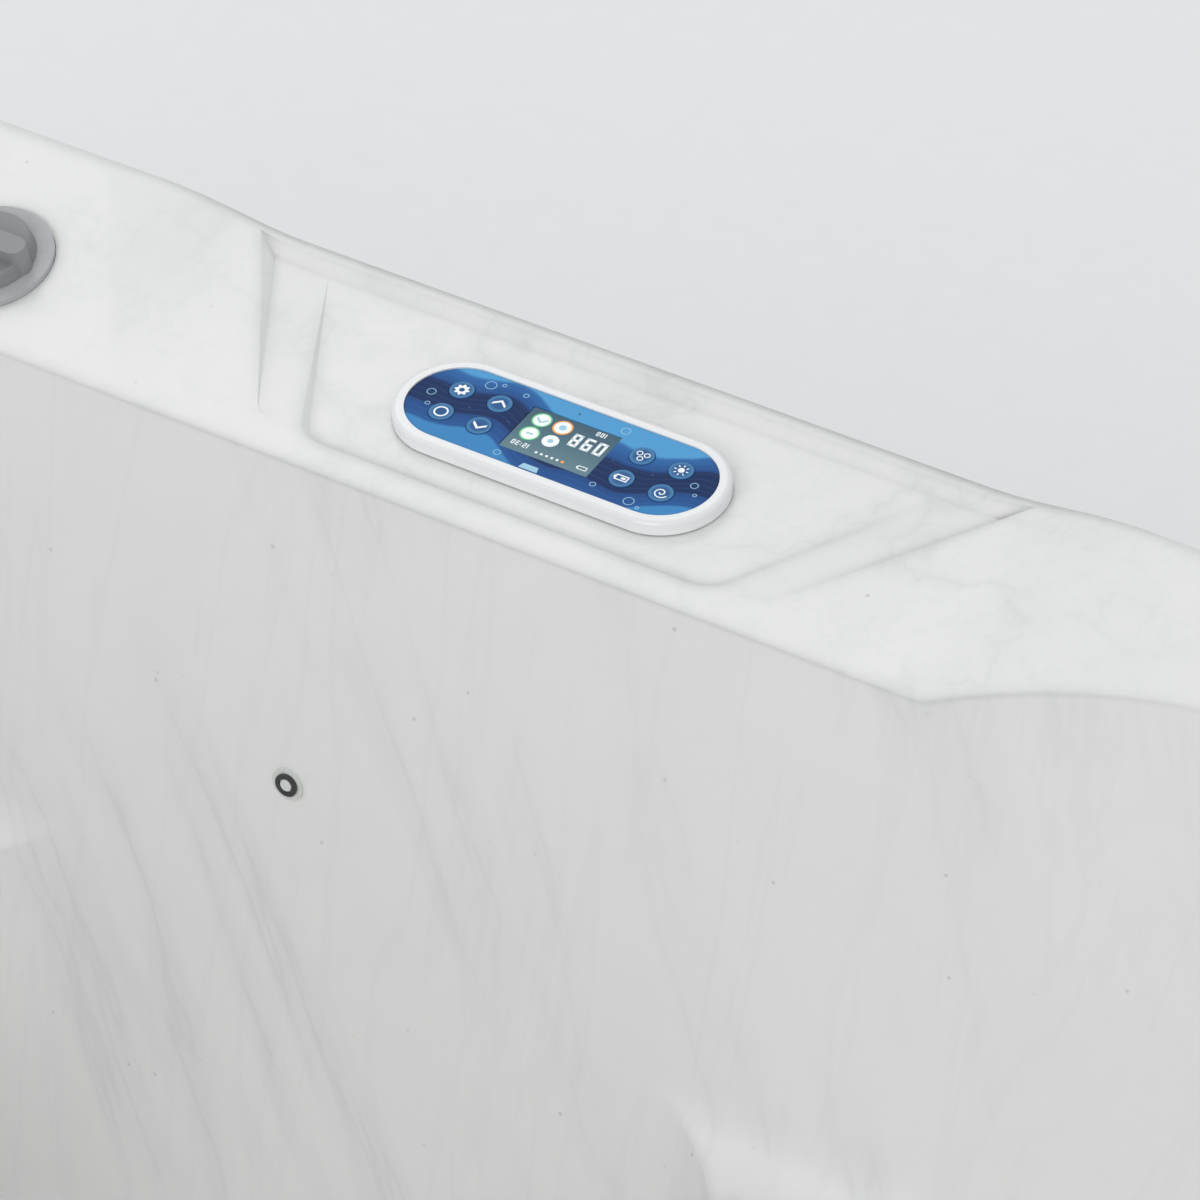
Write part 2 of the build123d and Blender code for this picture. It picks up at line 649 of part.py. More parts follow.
# Point lights in the basin walls: flanged body, dark ring, pale lens
LIGHT_FLANGE_R = 12.2
LIGHT_FLANGE_T = 1.6
RING_R = 8.7
RING_T = 1.6
LENS_R = 4.8
LENS_T = 2.2
LIGHT_BODY_L = 34.0
NUT_R = 14.0
NUT_T = 6.0
with BuildPart() as point_light_bodies:
    for plane in light_planes:
        with BuildSketch(plane):
            Circle(LIGHT_FLANGE_R)
        extrude(amount=LIGHT_FLANGE_T)
        with BuildSketch(plane):
            Circle(LIGHT_HOLE_R - GAP)
        extrude(amount=-LIGHT_BODY_L)
        with BuildSketch(plane.offset(-WALL - GAP)):
            RegularPolygon(NUT_R, 6)
        extrude(amount=-NUT_T)
        with BuildSketch(plane.offset(LIGHT_FLANGE_T)):
            Circle(LENS_R)
        extrude(amount=-LIGHT_FLANGE_T, mode=Mode.SUBTRACT)
save(point_light_bodies.part, "point_light_bodies")
with BuildPart() as point_light_rings:
    for plane in light_planes:
        with BuildSketch(plane.offset(LIGHT_FLANGE_T)):
            Circle(RING_R)
            Circle(LENS_R + GAP, mode=Mode.SUBTRACT)
        extrude(amount=RING_T)
save(point_light_rings.part, "point_light_rings")
with BuildPart() as point_light_lenses:
    for plane in light_planes:
        with BuildSketch(plane):
            Circle(LENS_R - GAP)
        extrude(amount=LIGHT_FLANGE_T + LENS_T)
        circles = point_light_lenses.edges(Select.LAST).filter_by(GeomType.CIRCLE)
        fillet(circles.sort_by_distance(plane.origin)[-1], 1.0)
save(point_light_lenses.part, "point_light_lenses")

# Rim controls: valve bodies, plates and turning handles
VALVE_BODY_R = 23.5
VALVE_BODY_L = 62.0
VALVE_NUT_R = 30.0
PLATE_T = 4.0
SPIGOT_R = 9.0
HUB_R = 22.0
HANDLE_H = 22.0
GRIP_W = 16.0
with BuildPart() as rim_valve_bodies:
    for plane in valve_planes.values():
        with BuildSketch(plane.offset(-VALVE_SINK)):
            Circle(VALVE_BODY_R)
            Circle(SPIGOT_R + GAP, mode=Mode.SUBTRACT)
        extrude(amount=-VALVE_BODY_L)
        with BuildSketch(plane.offset(-3 * WALL)):
            RegularPolygon(VALVE_NUT_R, 6)
            Circle(VALVE_BODY_R - 1, mode=Mode.SUBTRACT)
        extrude(amount=-NUT_T)
save(rim_valve_bodies.part, "rim_valve_bodies")

with BuildPart() as rim_valve_plates:
    for name, side, along, out, plate, tilt in VALVES:
        with BuildSketch(valve_planes[name].offset(-VALVE_SINK)):
            Circle(plate)
            Circle(SPIGOT_R + GAP, mode=Mode.SUBTRACT)
        extrude(amount=VALVE_SINK + PLATE_T)
save(rim_valve_plates.part, "rim_valve_plates")

for name, side, along, out, plate, tilt in VALVES:
    plane = valve_planes[name]
    hub = plate - 12
    with BuildPart() as handle:
        with BuildSketch(plane.offset(PLATE_T + GAP)):
            Circle(hub)
        extrude(amount=HANDLE_H / 2, taper=12)
        fillet(handle.faces().sort_by(Axis.Z)[-1].edges(), 2)
        with BuildSketch(plane.offset(PLATE_T + GAP)):
            SlotOverall(2 * plate - 20, GRIP_W)
        extrude(amount=HANDLE_H)
        with BuildSketch(plane.offset(PLATE_T + GAP)):
            Circle(SPIGOT_R)
        extrude(amount=-VALVE_BODY_L / 2)
    save(handle.part, name)

# Filter: housing under the rim, mouth frame, weir door, cartridge and lid
HOUSING_ALONG = 146.0
HOUSING_IN = 893.0
HOUSING_OUT = 1003.0
HOUSING_LOW = 450.0
HOUSING_TOP = 860.0
DUCT_HALF = 116.0
DUCT_LOW = 694.0
DUCT_TOP = 836.0
DUCT_IN = 868.0
PLASTIC = 4.0
HINGE_OUT = 884.0
HINGE_Z = 712.0
PIN_R = 2.5
WEIR_L = 206.0
WEIR_H = 92.0
WEIR_T = 7.0
WEIR_LEAN = 5.0           # closed door leans to the water, degrees
CARTRIDGE_R = 50.0
CARTRIDGE_TOP = 684.0
CARTRIDGE_AT = 948.0
CAP_H = 14.0
SLEEVE_T = 5.0
SLEEVE_D = 26.0
FRAME_W = 16.0
OUTLET_R = 20.0
with BuildPart() as filter_housing:
    with Locations((0, -(HOUSING_IN + HOUSING_OUT) / 2, (HOUSING_LOW + HOUSING_TOP) / 2)):
        Box(2 * HOUSING_ALONG, HOUSING_OUT - HOUSING_IN, HOUSING_TOP - HOUSING_LOW)
    with Locations((0, -(DUCT_IN + HOUSING_IN) / 2, (DUCT_LOW + DUCT_TOP) / 2)):
        Box(2 * DUCT_HALF + 2 * PLASTIC, HOUSING_IN - DUCT_IN, DUCT_TOP - DUCT_LOW + 2 * PLASTIC)
    with Locations((0, -(HOUSING_IN + HOUSING_OUT) / 2, (HOUSING_LOW + HOUSING_TOP) / 2 + PLASTIC)):
        Box(2 * (HOUSING_ALONG - PLASTIC), HOUSING_OUT - HOUSING_IN - 2 * PLASTIC, HOUSING_TOP - HOUSING_LOW,
            mode=Mode.SUBTRACT)
    with Locations((0, -(DUCT_IN + HOUSING_IN) / 2, (DUCT_LOW + DUCT_TOP) / 2)):
        Box(2 * DUCT_HALF, HOUSING_IN - DUCT_IN + 4 * PLASTIC, DUCT_TOP - DUCT_LOW, mode=Mode.SUBTRACT)
    with Locations(Location((0, -HINGE_OUT, HINGE_Z), (0, 90, 0))):
        Cylinder(PIN_R + SLIP, 4 * DUCT_HALF, mode=Mode.SUBTRACT)
    with Locations((0, -CARTRIDGE_AT, HOUSING_LOW)):
        Cylinder(OUTLET_R, 4 * PLASTIC, mode=Mode.SUBTRACT)
    split(bisect_by=lid_plane.offset(-WALL - 1), keep=Keep.BOTTOM)
save(filter_housing.part, "filter_housing")

with BuildPart() as mouth_frame:
    with BuildSketch(mouth_plane):
        RectangleRounded(MOUTH_L + 2 * FRAME_W, MOUTH_H + 2 * FRAME_W, FRAME_W)
    extrude(amount=PLASTIC)
    chamfer(mouth_frame.faces().sort_by_distance(mouth_plane.offset(PLASTIC).origin)[0].edges(), 1.5)
    with BuildSketch(mouth_plane):
        RectangleRounded(MOUTH_L - 1, MOUTH_H - 1, LID_LIP)
    extrude(amount=-SLEEVE_D)
    with BuildSketch(mouth_plane):
        RectangleRounded(MOUTH_L - 2 * SLEEVE_T, MOUTH_H - 2 * SLEEVE_T, LID_LIP / 2)
    extrude(amount=2 * SLEEVE_D, both=True, mode=Mode.SUBTRACT)
save(mouth_frame.part, "mouth_frame")

with BuildPart() as weir_door:
    lean = radians(WEIR_LEAN)
    hinge_point = (0, -HINGE_OUT, HINGE_Z)
    with BuildSketch(Plane(origin=hinge_point, x_dir=(1, 0, 0), z_dir=(0, sin(lean), cos(lean)))):
        Rectangle(WEIR_L, WEIR_T)
    extrude(amount=WEIR_H)
    with BuildSketch(Plane.YZ.offset(-DUCT_HALF - PLASTIC)):
        with Locations((-HINGE_OUT, HINGE_Z)):
            Circle(PIN_R)
    extrude(amount=2 * (DUCT_HALF + PLASTIC))
save(weir_door.part, "weir_door")

with BuildPart() as filter_cartridge:
    floor_z = HOUSING_LOW + PLASTIC
    with BuildSketch(Plane.XY.offset(floor_z)):
        with Locations((0, -CARTRIDGE_AT)):
            Circle(CARTRIDGE_R)
    extrude(amount=CAP_H)
    with BuildSketch(Plane.XY.offset(floor_z + CAP_H)):
        with Locations((0, -CARTRIDGE_AT)):
            Circle(CARTRIDGE_R - 4)
    extrude(amount=CARTRIDGE_TOP - floor_z - 2 * CAP_H)
    with BuildSketch(Plane.XY.offset(CARTRIDGE_TOP - CAP_H)):
        with Locations((0, -CARTRIDGE_AT)):
            Circle(CARTRIDGE_R)
    extrude(amount=CAP_H)
    with Locations((0, -CARTRIDGE_AT, CARTRIDGE_TOP)):
        Cylinder(OUTLET_R, 4 * (CARTRIDGE_TOP - floor_z), mode=Mode.SUBTRACT)
save(filter_cartridge.part, "filter_cartridge")

with BuildPart() as filter_lid:
    with BuildSketch(lid_plane):
        RectangleRounded(LID_L, LID_W, 18)
    extrude(amount=LID_T)
    fillet(filter_lid.faces().sort_by(Axis.Z)[-1].edges(), 3)
    with BuildSketch(lid_plane.offset(-WALL)):
        RectangleRounded(LID_L - 2 * LID_LIP - 1, LID_W - 2 * LID_LIP - 1, LID_LIP - 0.5)
        RectangleRounded(LID_L - 4 * LID_LIP, LID_W - 4 * LID_LIP, LID_LIP / 2, mode=Mode.SUBTRACT)
    extrude(amount=WALL)
    with BuildSketch(lid_plane.offset(LID_T)):
        SlotOverall(90, 26)
    extrude(amount=-LID_T / 2, mode=Mode.SUBTRACT)
save(filter_lid.part, "filter_lid")

# Massage jets: a body behind each seat back and a turning face in front
JET_BODY_R = 29.5
JET_BODY_L = 66.0
JET_NUT_R = 40.0
JET_FACE_R = 46.0
JET_FACE_T = 9.0
JET_SEAT = 3.0
NOZZLE_R = 12.0
NOZZLE_AT = 17.0
with BuildPart() as jet_bodies:
    for plane in jet_planes:
        with BuildSketch(plane.offset(JET_SEAT)):
            Circle(JET_BODY_R)
        extrude(amount=-JET_BODY_L)
        with BuildSketch(plane.offset(-WALL - JET_SEAT)):
            RegularPolygon(JET_NUT_R, 8)
        extrude(amount=-2 * NUT_T)
        with BuildSketch(plane.offset(JET_SEAT)):
            Circle(JET_BODY_R - PLASTIC)
        extrude(amount=-JET_BODY_L + 2 * PLASTIC, mode=Mode.SUBTRACT)
save(jet_bodies.part, "jet_bodies")
jet_names = []
for i, plane in enumerate(jet_planes):
    with BuildPart() as face:
        with BuildSketch(plane.offset(JET_SEAT + GAP)):
            Circle(JET_FACE_R)
        extrude(amount=JET_FACE_T, taper=20)
        with BuildSketch(plane.offset(JET_SEAT + GAP)):
            Circle(JET_BODY_R - PLASTIC - GAP)
        extrude(amount=-JET_BODY_L / 2)
        with BuildSketch(plane.offset(JET_SEAT + JET_FACE_T + GAP)):
            for spot in ((NOZZLE_AT, 0), (-NOZZLE_AT, 0)):
                with Locations(spot):
                    Circle(NOZZLE_R)
        extrude(amount=-JET_FACE_T - JET_BODY_L / 3, mode=Mode.SUBTRACT)
    jet_names.append(f"jet_face_{i + 1}")
    save(face.part, jet_names[-1])

# Suction covers and the return, each with a tail behind the wall, and the underwater lamp
COVER_R = 52.0
COVER_T = 14.0
TAIL_L = 50.0
TAIL_R = 23.5
BORE_R = 16.0
with BuildPart() as wall_fittings:
    for plane in (return_plane, *suction_planes):
        with BuildSketch(plane):
            Circle(COVER_R)
        extrude(amount=COVER_T, taper=30)
        with BuildSketch(plane):
            Circle(TAIL_R)
        extrude(amount=-TAIL_L)
        with BuildSketch(plane.offset(-WALL - GAP)):
            RegularPolygon(VALVE_NUT_R + 4, 6)
        extrude(amount=-NUT_T)
        with BuildSketch(plane.offset(COVER_T / 2)):
            Circle(BORE_R)
        extrude(amount=-TAIL_L - COVER_T, mode=Mode.SUBTRACT)
        with BuildSketch(plane.offset(COVER_T / 2)):
            with PolarLocations((COVER_R - BORE_R) * 0.75, 12):
                Circle(BORE_R / 4)
        extrude(amount=COVER_T, mode=Mode.SUBTRACT)
save(wall_fittings.part, "wall_fittings")
LAMP_R = 62.0
LAMP_T = 12.0
LAMP_D = 60.0
with BuildPart() as main_lamp:
    with BuildSketch(lamp_plane):
        Circle(LAMP_R)
    extrude(amount=LAMP_T, taper=25)
    with BuildSketch(lamp_plane):
        Circle(LAMP_HOLE_R - GAP)
    extrude(amount=-LAMP_D)
    with BuildSketch(lamp_plane.offset(-WALL - GAP)):
        RegularPolygon(LAMP_R - 2, 8)
    extrude(amount=-NUT_T)
save(main_lamp.part, "main_lamp")

# Jet pump under the front right seat: motor, wet end and the one rotor that both hold
PUMP_Y = 840.0
PUMP_Z = 150.0
MOTOR_X = (605.0, 850.0)
MOTOR_R = 80.0
MOTOR_T = 5.0
WET_X = (520.0, 605.0)
WET_R = 100.0
WET_T = 8.0
INLET_X = 470.0
PORT_R = 30.0
PIPE_R = 24.0
PIPE_T = 3.0
PORT_UP = 300.0
SHAFT_R = 10.0
CORE_R = 44.0
STATOR_R = 46.0
IMPELLER_R = 80.0
IMPELLER_T = 24.0
FIN_COUNT = 24
FOOT_W = 150.0
FOOT_T = 10.0


def along_x(x, y, z):
    """A plane that looks along +X from a point."""
    return Plane(origin=(x, y, z), x_dir=(0, 1, 0), z_dir=(1, 0, 0))


def at_pump(x):
    return along_x(x, PUMP_Y, PUMP_Z)


motor_l = MOTOR_X[1] - MOTOR_X[0]
wet_l = WET_X[1] - WET_X[0]
with BuildPart() as pump_motor:
    with BuildSketch(at_pump(MOTOR_X[0])):
        Circle(MOTOR_R)
    extrude(amount=motor_l)
    with BuildSketch(at_pump(MOTOR_X[0] + motor_l / 8)):
        with PolarLocations(MOTOR_R, FIN_COUNT):
            Rectangle(6, 3)
    extrude(amount=motor_l * 3 / 4)
    with BuildSketch(Plane.XY.offset(PAN_T)):
        with Locations((sum(MOTOR_X) / 2, PUMP_Y)):
            Rectangle(motor_l * 2 / 3, FOOT_W)
    extrude(amount=FOOT_T)
    with BuildSketch(Plane.XY.offset(PAN_T + FOOT_T)):
        with Locations((sum(MOTOR_X) / 2, PUMP_Y)):
            Rectangle(motor_l / 2, FOOT_W / 2)
    extrude(amount=PUMP_Z - PAN_T - FOOT_T)
    with BuildSketch(at_pump(MOTOR_X[0] + 2 * MOTOR_T)):
        Circle(STATOR_R)
    extrude(amount=motor_l - 5 * MOTOR_T, mode=Mode.SUBTRACT)
    with BuildSketch(at_pump(MOTOR_X[0])):
        Circle(SHAFT_R + SLIP)
    extrude(amount=motor_l - MOTOR_T, mode=Mode.SUBTRACT)
save(pump_motor.part, "pump_motor")

with BuildPart() as pump_wet_end:
    with BuildSketch(at_pump(WET_X[0])):
        Circle(WET_R)
    extrude(amount=wet_l)
    with BuildSketch(at_pump(INLET_X)):
        Circle(PORT_R)
    extrude(amount=WET_X[0] - INLET_X)
    with BuildSketch(Plane.XY.offset(PUMP_Z)):
        with Locations((sum(WET_X) / 2, PUMP_Y + WET_R - PORT_R)):
            Circle(PORT_R)
    extrude(amount=PORT_UP - PUMP_Z)
    with BuildSketch(at_pump(WET_X[0] + WET_T)):
        Circle(IMPELLER_R + WET_T)
    extrude(amount=wet_l - 2 * WET_T, mode=Mode.SUBTRACT)
    with BuildSketch(at_pump(WET_X[1] - 2 * WET_T)):
        Circle(SHAFT_R + SLIP)
    extrude(amount=4 * WET_T, mode=Mode.SUBTRACT)
    with BuildSketch(at_pump(INLET_X)):
        Circle(PIPE_R)
    extrude(amount=WET_X[0] - INLET_X + 2 * WET_T, mode=Mode.SUBTRACT)
    with BuildSketch(Plane.XY.offset(PUMP_Z)):
        with Locations((sum(WET_X) / 2, PUMP_Y + WET_R - PORT_R)):
            Circle(PIPE_R - PIPE_T)
    extrude(amount=PORT_UP, mode=Mode.SUBTRACT)
save(pump_wet_end.part, "pump_wet_end")

with BuildPart() as pump_rotor:
    with BuildSketch(at_pump(WET_X[0] + 2 * WET_T)):
        Circle(SHAFT_R)
    extrude(amount=MOTOR_X[1] - 2 * MOTOR_T - WET_X[0] - 2 * WET_T)
    with BuildSketch(at_pump(WET_X[0] + 3 * WET_T)):
        Circle(IMPELLER_R)
    extrude(amount=3)
    with BuildSketch(at_pump(WET_X[0] + 3 * WET_T)):
        with PolarLocations(IMPELLER_R * 0.6, 7):
            Rectangle(IMPELLER_R * 0.7, 4, rotation=35)
    extrude(amount=IMPELLER_T)
    with BuildSketch(at_pump(MOTOR_X[0] + 6 * MOTOR_T)):
        Circle(CORE_R)
    extrude(amount=motor_l - 14 * MOTOR_T)
save(pump_rotor.part, "pump_rotor")

# Control box and heater behind the service panel
BOX_X = (-400.0, 0.0)
BOX_Y = (845.0, 940.0)
BOX_TOP = 290.0
HEATER_Y = 892.0
HEATER_R = 28.5
HEATER_X = (-370.0, -30.0)
COUPLER_R = 36.0
COUPLER_L = 30.0
box_l = BOX_X[1] - BOX_X[0]
box_w = BOX_Y[1] - BOX_Y[0]
box_h = BOX_TOP - PAN_T
with BuildPart() as control_box:
    with Locations((sum(BOX_X) / 2, sum(BOX_Y) / 2, (PAN_T + BOX_TOP) / 2)):
        Box(box_l, box_w, box_h)
    fillet(control_box.edges().filter_by(Axis.Z), 10)
    with Locations((sum(BOX_X) / 2, BOX_Y[1], (PAN_T + BOX_TOP) / 2)):
        Box(box_l - 10 * PLASTIC, 2 * PLASTIC, box_h - 15 * PLASTIC)
    with Locations((sum(BOX_X) / 2, sum(BOX_Y) / 2, (PAN_T + BOX_TOP) / 2)):
        Box(box_l - 2 * PLASTIC, box_w - 2 * PLASTIC, box_h - 2 * PLASTIC, mode=Mode.SUBTRACT)
save(control_box.part, "control_box")

heater_z = BOX_TOP + COUPLER_R + PLASTIC
with BuildPart() as heater:
    with BuildSketch(along_x(HEATER_X[0], HEATER_Y, heater_z)):
        Circle(HEATER_R)
    extrude(amount=HEATER_X[1] - HEATER_X[0])
    for x in (HEATER_X[0] - COUPLER_L, HEATER_X[1]):
        with BuildSketch(along_x(x, HEATER_Y, heater_z)):
            Circle(COUPLER_R)
        extrude(amount=COUPLER_L)
    for x in (HEATER_X[0] + 2 * COUPLER_L, HEATER_X[1] - 2 * COUPLER_L):
        with Locations((x, HEATER_Y, (BOX_TOP + heater_z) / 2)):
            Box(COUPLER_L, 1.6 * HEATER_R, heater_z - BOX_TOP)
    with BuildSketch(along_x(HEATER_X[0] - COUPLER_L, HEATER_Y, heater_z)):
        Circle(PIPE_R - PIPE_T)
    extrude(amount=HEATER_X[1] - HEATER_X[0] + 2 * COUPLER_L, mode=Mode.SUBTRACT)
save(heater.part, "heater")


# Pipes: straight runs joined by bends, each from one seat to the next
def route_solid(points, radius, bend):
    with BuildPart() as run:
        with BuildLine() as route:
            if len(points) > 2:
                FilletPolyline(*points, radius=bend)
            else:
                Line(*points)
        with BuildSketch(Plane(origin=route.line @ 0, z_dir=route.line % 0)):
            Circle(radius)
        sweep()
    return run.part


def pipe(routes, radius, wall, bend):
    """A hollow pipe along one route or along several that meet."""
    solids = [route_solid(points, radius, bend) for points in routes]
    bores = [route_solid(points, radius - wall, bend) for points in routes]
    with BuildPart() as run:
        for solid in solids:
            add(solid)
        for bore in bores:
            add(bore, mode=Mode.SUBTRACT)
    return run.part


def behind(plane, depth):
    """A point behind a fitting, on its axis."""
    return plane.origin - plane.z_dir * depth


BEND = 40.0
MAIN_Z = 415.0
MAIN_AT = 905.0
SUCTION_X = 425.0
wet_mid = sum(WET_X) / 2
port_y = PUMP_Y + WET_R - PORT_R
tails = [behind(plane, TAIL_L) for plane in suction_planes]
drop = (SUCTION_X - tails[0].X) * tan(radians(WALL_DRAFT))
suction_z = tails[0].Z - drop
to_pump = [tails[0], Vector(SUCTION_X, tails[0].Y, suction_z), Vector(SUCTION_X, tails[1].Y, suction_z),
           Vector(SUCTION_X, PUMP_Y, PUMP_Z), Vector(INLET_X, PUMP_Y, PUMP_Z)]
branch = [tails[1], Vector(SUCTION_X, tails[1].Y, suction_z)]
suction_pipe = pipe([to_pump, branch], PIPE_R, PIPE_T, BEND)
main_run = [Vector(wet_mid, port_y, PORT_UP), Vector(wet_mid, port_y, MAIN_Z), Vector(MAIN_AT, port_y, MAIN_Z),
            Vector(MAIN_AT, -MAIN_AT, MAIN_Z), Vector(-MAIN_AT, -MAIN_AT, MAIN_Z), Vector(-MAIN_AT, -600, MAIN_Z)]
pressure_main = pipe([main_run], PIPE_R, PIPE_T, BEND)
UNDER_Z = 150.0
LOUNGE_X = -600.0
FEED_R = 20.0
FEED_BEND = 25.0
HOP_Y = -840.0
feed_run = [Vector(0, -CARTRIDGE_AT, HOUSING_LOW), Vector(0, -CARTRIDGE_AT, 330), Vector(-110, HOP_Y, UNDER_Z),
            Vector(LOUNGE_X, HOP_Y, UNDER_Z), Vector(LOUNGE_X, HEATER_Y, UNDER_Z),
            Vector(LOUNGE_X, HEATER_Y, heater_z), Vector(HEATER_X[0] - COUPLER_L, HEATER_Y, heater_z)]
filter_feed = pipe([feed_run], FEED_R, PIPE_T, BEND)
end = behind(return_plane, TAIL_L + 2)
return_run = [Vector(HEATER_X[1] + COUPLER_L, HEATER_Y, heater_z), Vector(end.X, HEATER_Y, heater_z),
              Vector(end.X, HEATER_Y, end.Z), end]
return_pipe = pipe([return_run], FEED_R, PIPE_T, FEED_BEND)
save(Compound(children=[suction_pipe, pressure_main, filter_feed, return_pipe]), "water_pipes")

HOSE_R = 11.0
HOSE_T = 2.0
hoses = []
back_slope = radians(LOBE_DRAFT)
for plane in jet_planes:
    port = behind(plane, JET_BODY_L * 0.7)
    foot = Vector(port.X, port.Y, MAIN_Z + PIPE_R)
    top = Vector(port.X, port.Y, port.Z - JET_BODY_R / cos(back_slope) - HOSE_R * tan(back_slope) - GAP)
    hoses.append(pipe([[foot, top]], HOSE_R, HOSE_T, BEND))
save(Compound(children=hoses), "jet_hoses")

# Headrests: moulded pads at the top of the seat backs, held on by their snug fit
REST_Z = (752.0, 848.0)
REST_T = 42.0
REST_ARC = 40.0
rests = []
for corner in SEATS:
    sx, sy = CORNERS[corner]
    middle = degrees(atan2(sy, sx))
    low, high = REST_Z
    with BuildPart() as rest:
        with BuildSketch(Plane.XZ) as profile:
            with BuildLine():
                Polyline((lobe_radius(low) - GAP, low), (lobe_radius(high) - GAP, high),
                         (lobe_radius(high) - REST_T * 0.6, high + 4), (lobe_radius(low) - REST_T, low + 22),
                         (lobe_radius(low) - REST_T * 0.5, low), close=True)
            make_face()
            fillet(profile.vertices().sort_by(Axis.X)[:3], 9)
        revolve(axis=Axis.Z, revolution_arc=REST_ARC)
        fillet(rest.faces().filter_by(GeomType.PLANE).edges(), 5)
    at_back = rest.part.rotate(Axis.Z, middle - REST_ARC / 2)
    rests.append(at_back.moved(Location((sx * LOBE_C, sy * LOBE_C, 0))))
save(Compound(children=rests), "headrests")

# Drain valve low on the left side, with its screw cap
DRAIN_R = 15.5
DRAIN_BORE = 9.0
DRAIN_FLANGE_R = 26.0
DRAIN_FLANGE_T = 3.0
DRAIN_L = 70.0
DRAIN_CAP_R = 20.0
DRAIN_CAP_T = 12.0
drain_plane = Plane(origin=(-CAB_HALF, DRAIN_Y, DRAIN_Z), x_dir=(0, -1, 0), z_dir=(-1, 0, 0))
with BuildPart() as drain_valve:
    with BuildSketch(drain_plane):
        Circle(DRAIN_FLANGE_R)
    extrude(amount=DRAIN_FLANGE_T)
    with BuildSketch(drain_plane):
        Circle(DRAIN_R)
    extrude(amount=-DRAIN_L)
    with BuildSketch(drain_plane.offset(DRAIN_FLANGE_T)):
        Circle(DRAIN_BORE)
    extrude(amount=-DRAIN_L - DRAIN_FLANGE_T, mode=Mode.SUBTRACT)
save(drain_valve.part, "drain_valve")
with BuildPart() as drain_cap:
    with BuildSketch(drain_plane.offset(DRAIN_FLANGE_T + GAP)):
        Circle(DRAIN_CAP_R)
        with PolarLocations(DRAIN_CAP_R, 12):
            Circle(2, mode=Mode.SUBTRACT)
    extrude(amount=DRAIN_CAP_T)
    with BuildSketch(drain_plane.offset(DRAIN_FLANGE_T + GAP)):
        Circle(DRAIN_BORE - GAP)
    extrude(amount=-DRAIN_L / 4)
save(drain_cap.part, "drain_cap")
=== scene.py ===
# %% [markdown]
# # A hot tub and its looks
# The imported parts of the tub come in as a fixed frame, in metres, with +Z up and the control panel on the +Y side.
# This script gives every part its finish. It also models the soft, printed and pleated pieces that the frame only
# stands in for.

# %% Load the frame
import math
import bmesh
import bpy
from mathutils import Matrix, Vector


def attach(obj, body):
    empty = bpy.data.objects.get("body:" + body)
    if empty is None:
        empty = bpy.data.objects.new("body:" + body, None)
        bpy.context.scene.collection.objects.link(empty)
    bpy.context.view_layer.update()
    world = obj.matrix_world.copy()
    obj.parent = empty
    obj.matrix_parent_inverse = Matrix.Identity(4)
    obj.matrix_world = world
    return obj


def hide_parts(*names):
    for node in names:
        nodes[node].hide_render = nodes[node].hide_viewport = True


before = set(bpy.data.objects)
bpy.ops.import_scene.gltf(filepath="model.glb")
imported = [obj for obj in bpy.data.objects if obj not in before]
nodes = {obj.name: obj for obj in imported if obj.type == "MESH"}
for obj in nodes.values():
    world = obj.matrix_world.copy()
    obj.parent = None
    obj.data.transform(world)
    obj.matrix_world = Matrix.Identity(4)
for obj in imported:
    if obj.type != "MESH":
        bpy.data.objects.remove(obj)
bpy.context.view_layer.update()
print(len(nodes), "parts in the frame")

# %% [markdown]
# ## Building blocks for materials
# Every finish is made of nodes. These helpers add one node each and return the socket that the next one takes.
# Object coordinates are the part's own metres, so a pattern rides with a part that moves.


# %% Material helpers
def material(name):
    made = bpy.data.materials.new(name)
    made.use_nodes = True
    return made, made.node_tree, made.node_tree.nodes["Principled BSDF"]


def add(tree, kind, inputs=None, **settings):
    made = tree.nodes.new("ShaderNode" + kind)
    for key, value in settings.items():
        setattr(made, key, value)
    for key, value in (inputs or {}).items():
        if isinstance(value, bpy.types.NodeSocket):
            tree.links.new(value, made.inputs[key])
        else:
            made.inputs[key].default_value = value
    return made


def calc(tree, operation, a, b=0.0):
    return add(tree, "Math", {0: a, 1: b}, operation=operation).outputs[0]


def blend(tree, amount, a, b):
    return add(tree, "Mix", {0: amount, 6: a, 7: b}, data_type="RGBA").outputs[2]


def ramp(tree, value, stops):
    made = add(tree, "ValToRGB", {0: value})
    elements = made.color_ramp.elements
    elements.remove(elements[1])
    elements[0].position = stops[0][0]
    elements[0].color = stops[0][1]
    for position, colour in stops[1:]:
        elements.new(position).color = colour
    return made.outputs[0]


def place(tree, scale=(1, 1, 1), rotation=(0, 0, 0)):
    source = add(tree, "TexCoord").outputs["Object"]
    return add(tree, "Mapping", {"Vector": source, "Scale": scale, "Rotation": rotation}).outputs[0]


def noise(tree, vector, scale, detail=3.0, rough=0.5, twist=0.0):
    values = {"Vector": vector, "Scale": scale, "Detail": detail, "Roughness": rough, "Distortion": twist}
    return add(tree, "TexNoise", values).outputs[0]


def wire(tree, shader, **sockets):
    for key, value in sockets.items():
        name = key.replace("_", " ")
        if isinstance(value, bpy.types.NodeSocket):
            tree.links.new(value, shader.inputs[name])
        else:
            shader.inputs[name].default_value = value


def grey(value):
    return (value, value, value, 1)


def tinted(colour, factor):
    return tuple(min(1.0, c * factor) for c in colour[:3]) + (1,)


print("material helpers ready")

# %% [markdown]
# ## Shared effects
# Two effects are used by many finishes: the fine grain of moulded plastic, and a mask for edges that hands and
# tools have rubbed. Each is one group, so it can be tuned in one place.


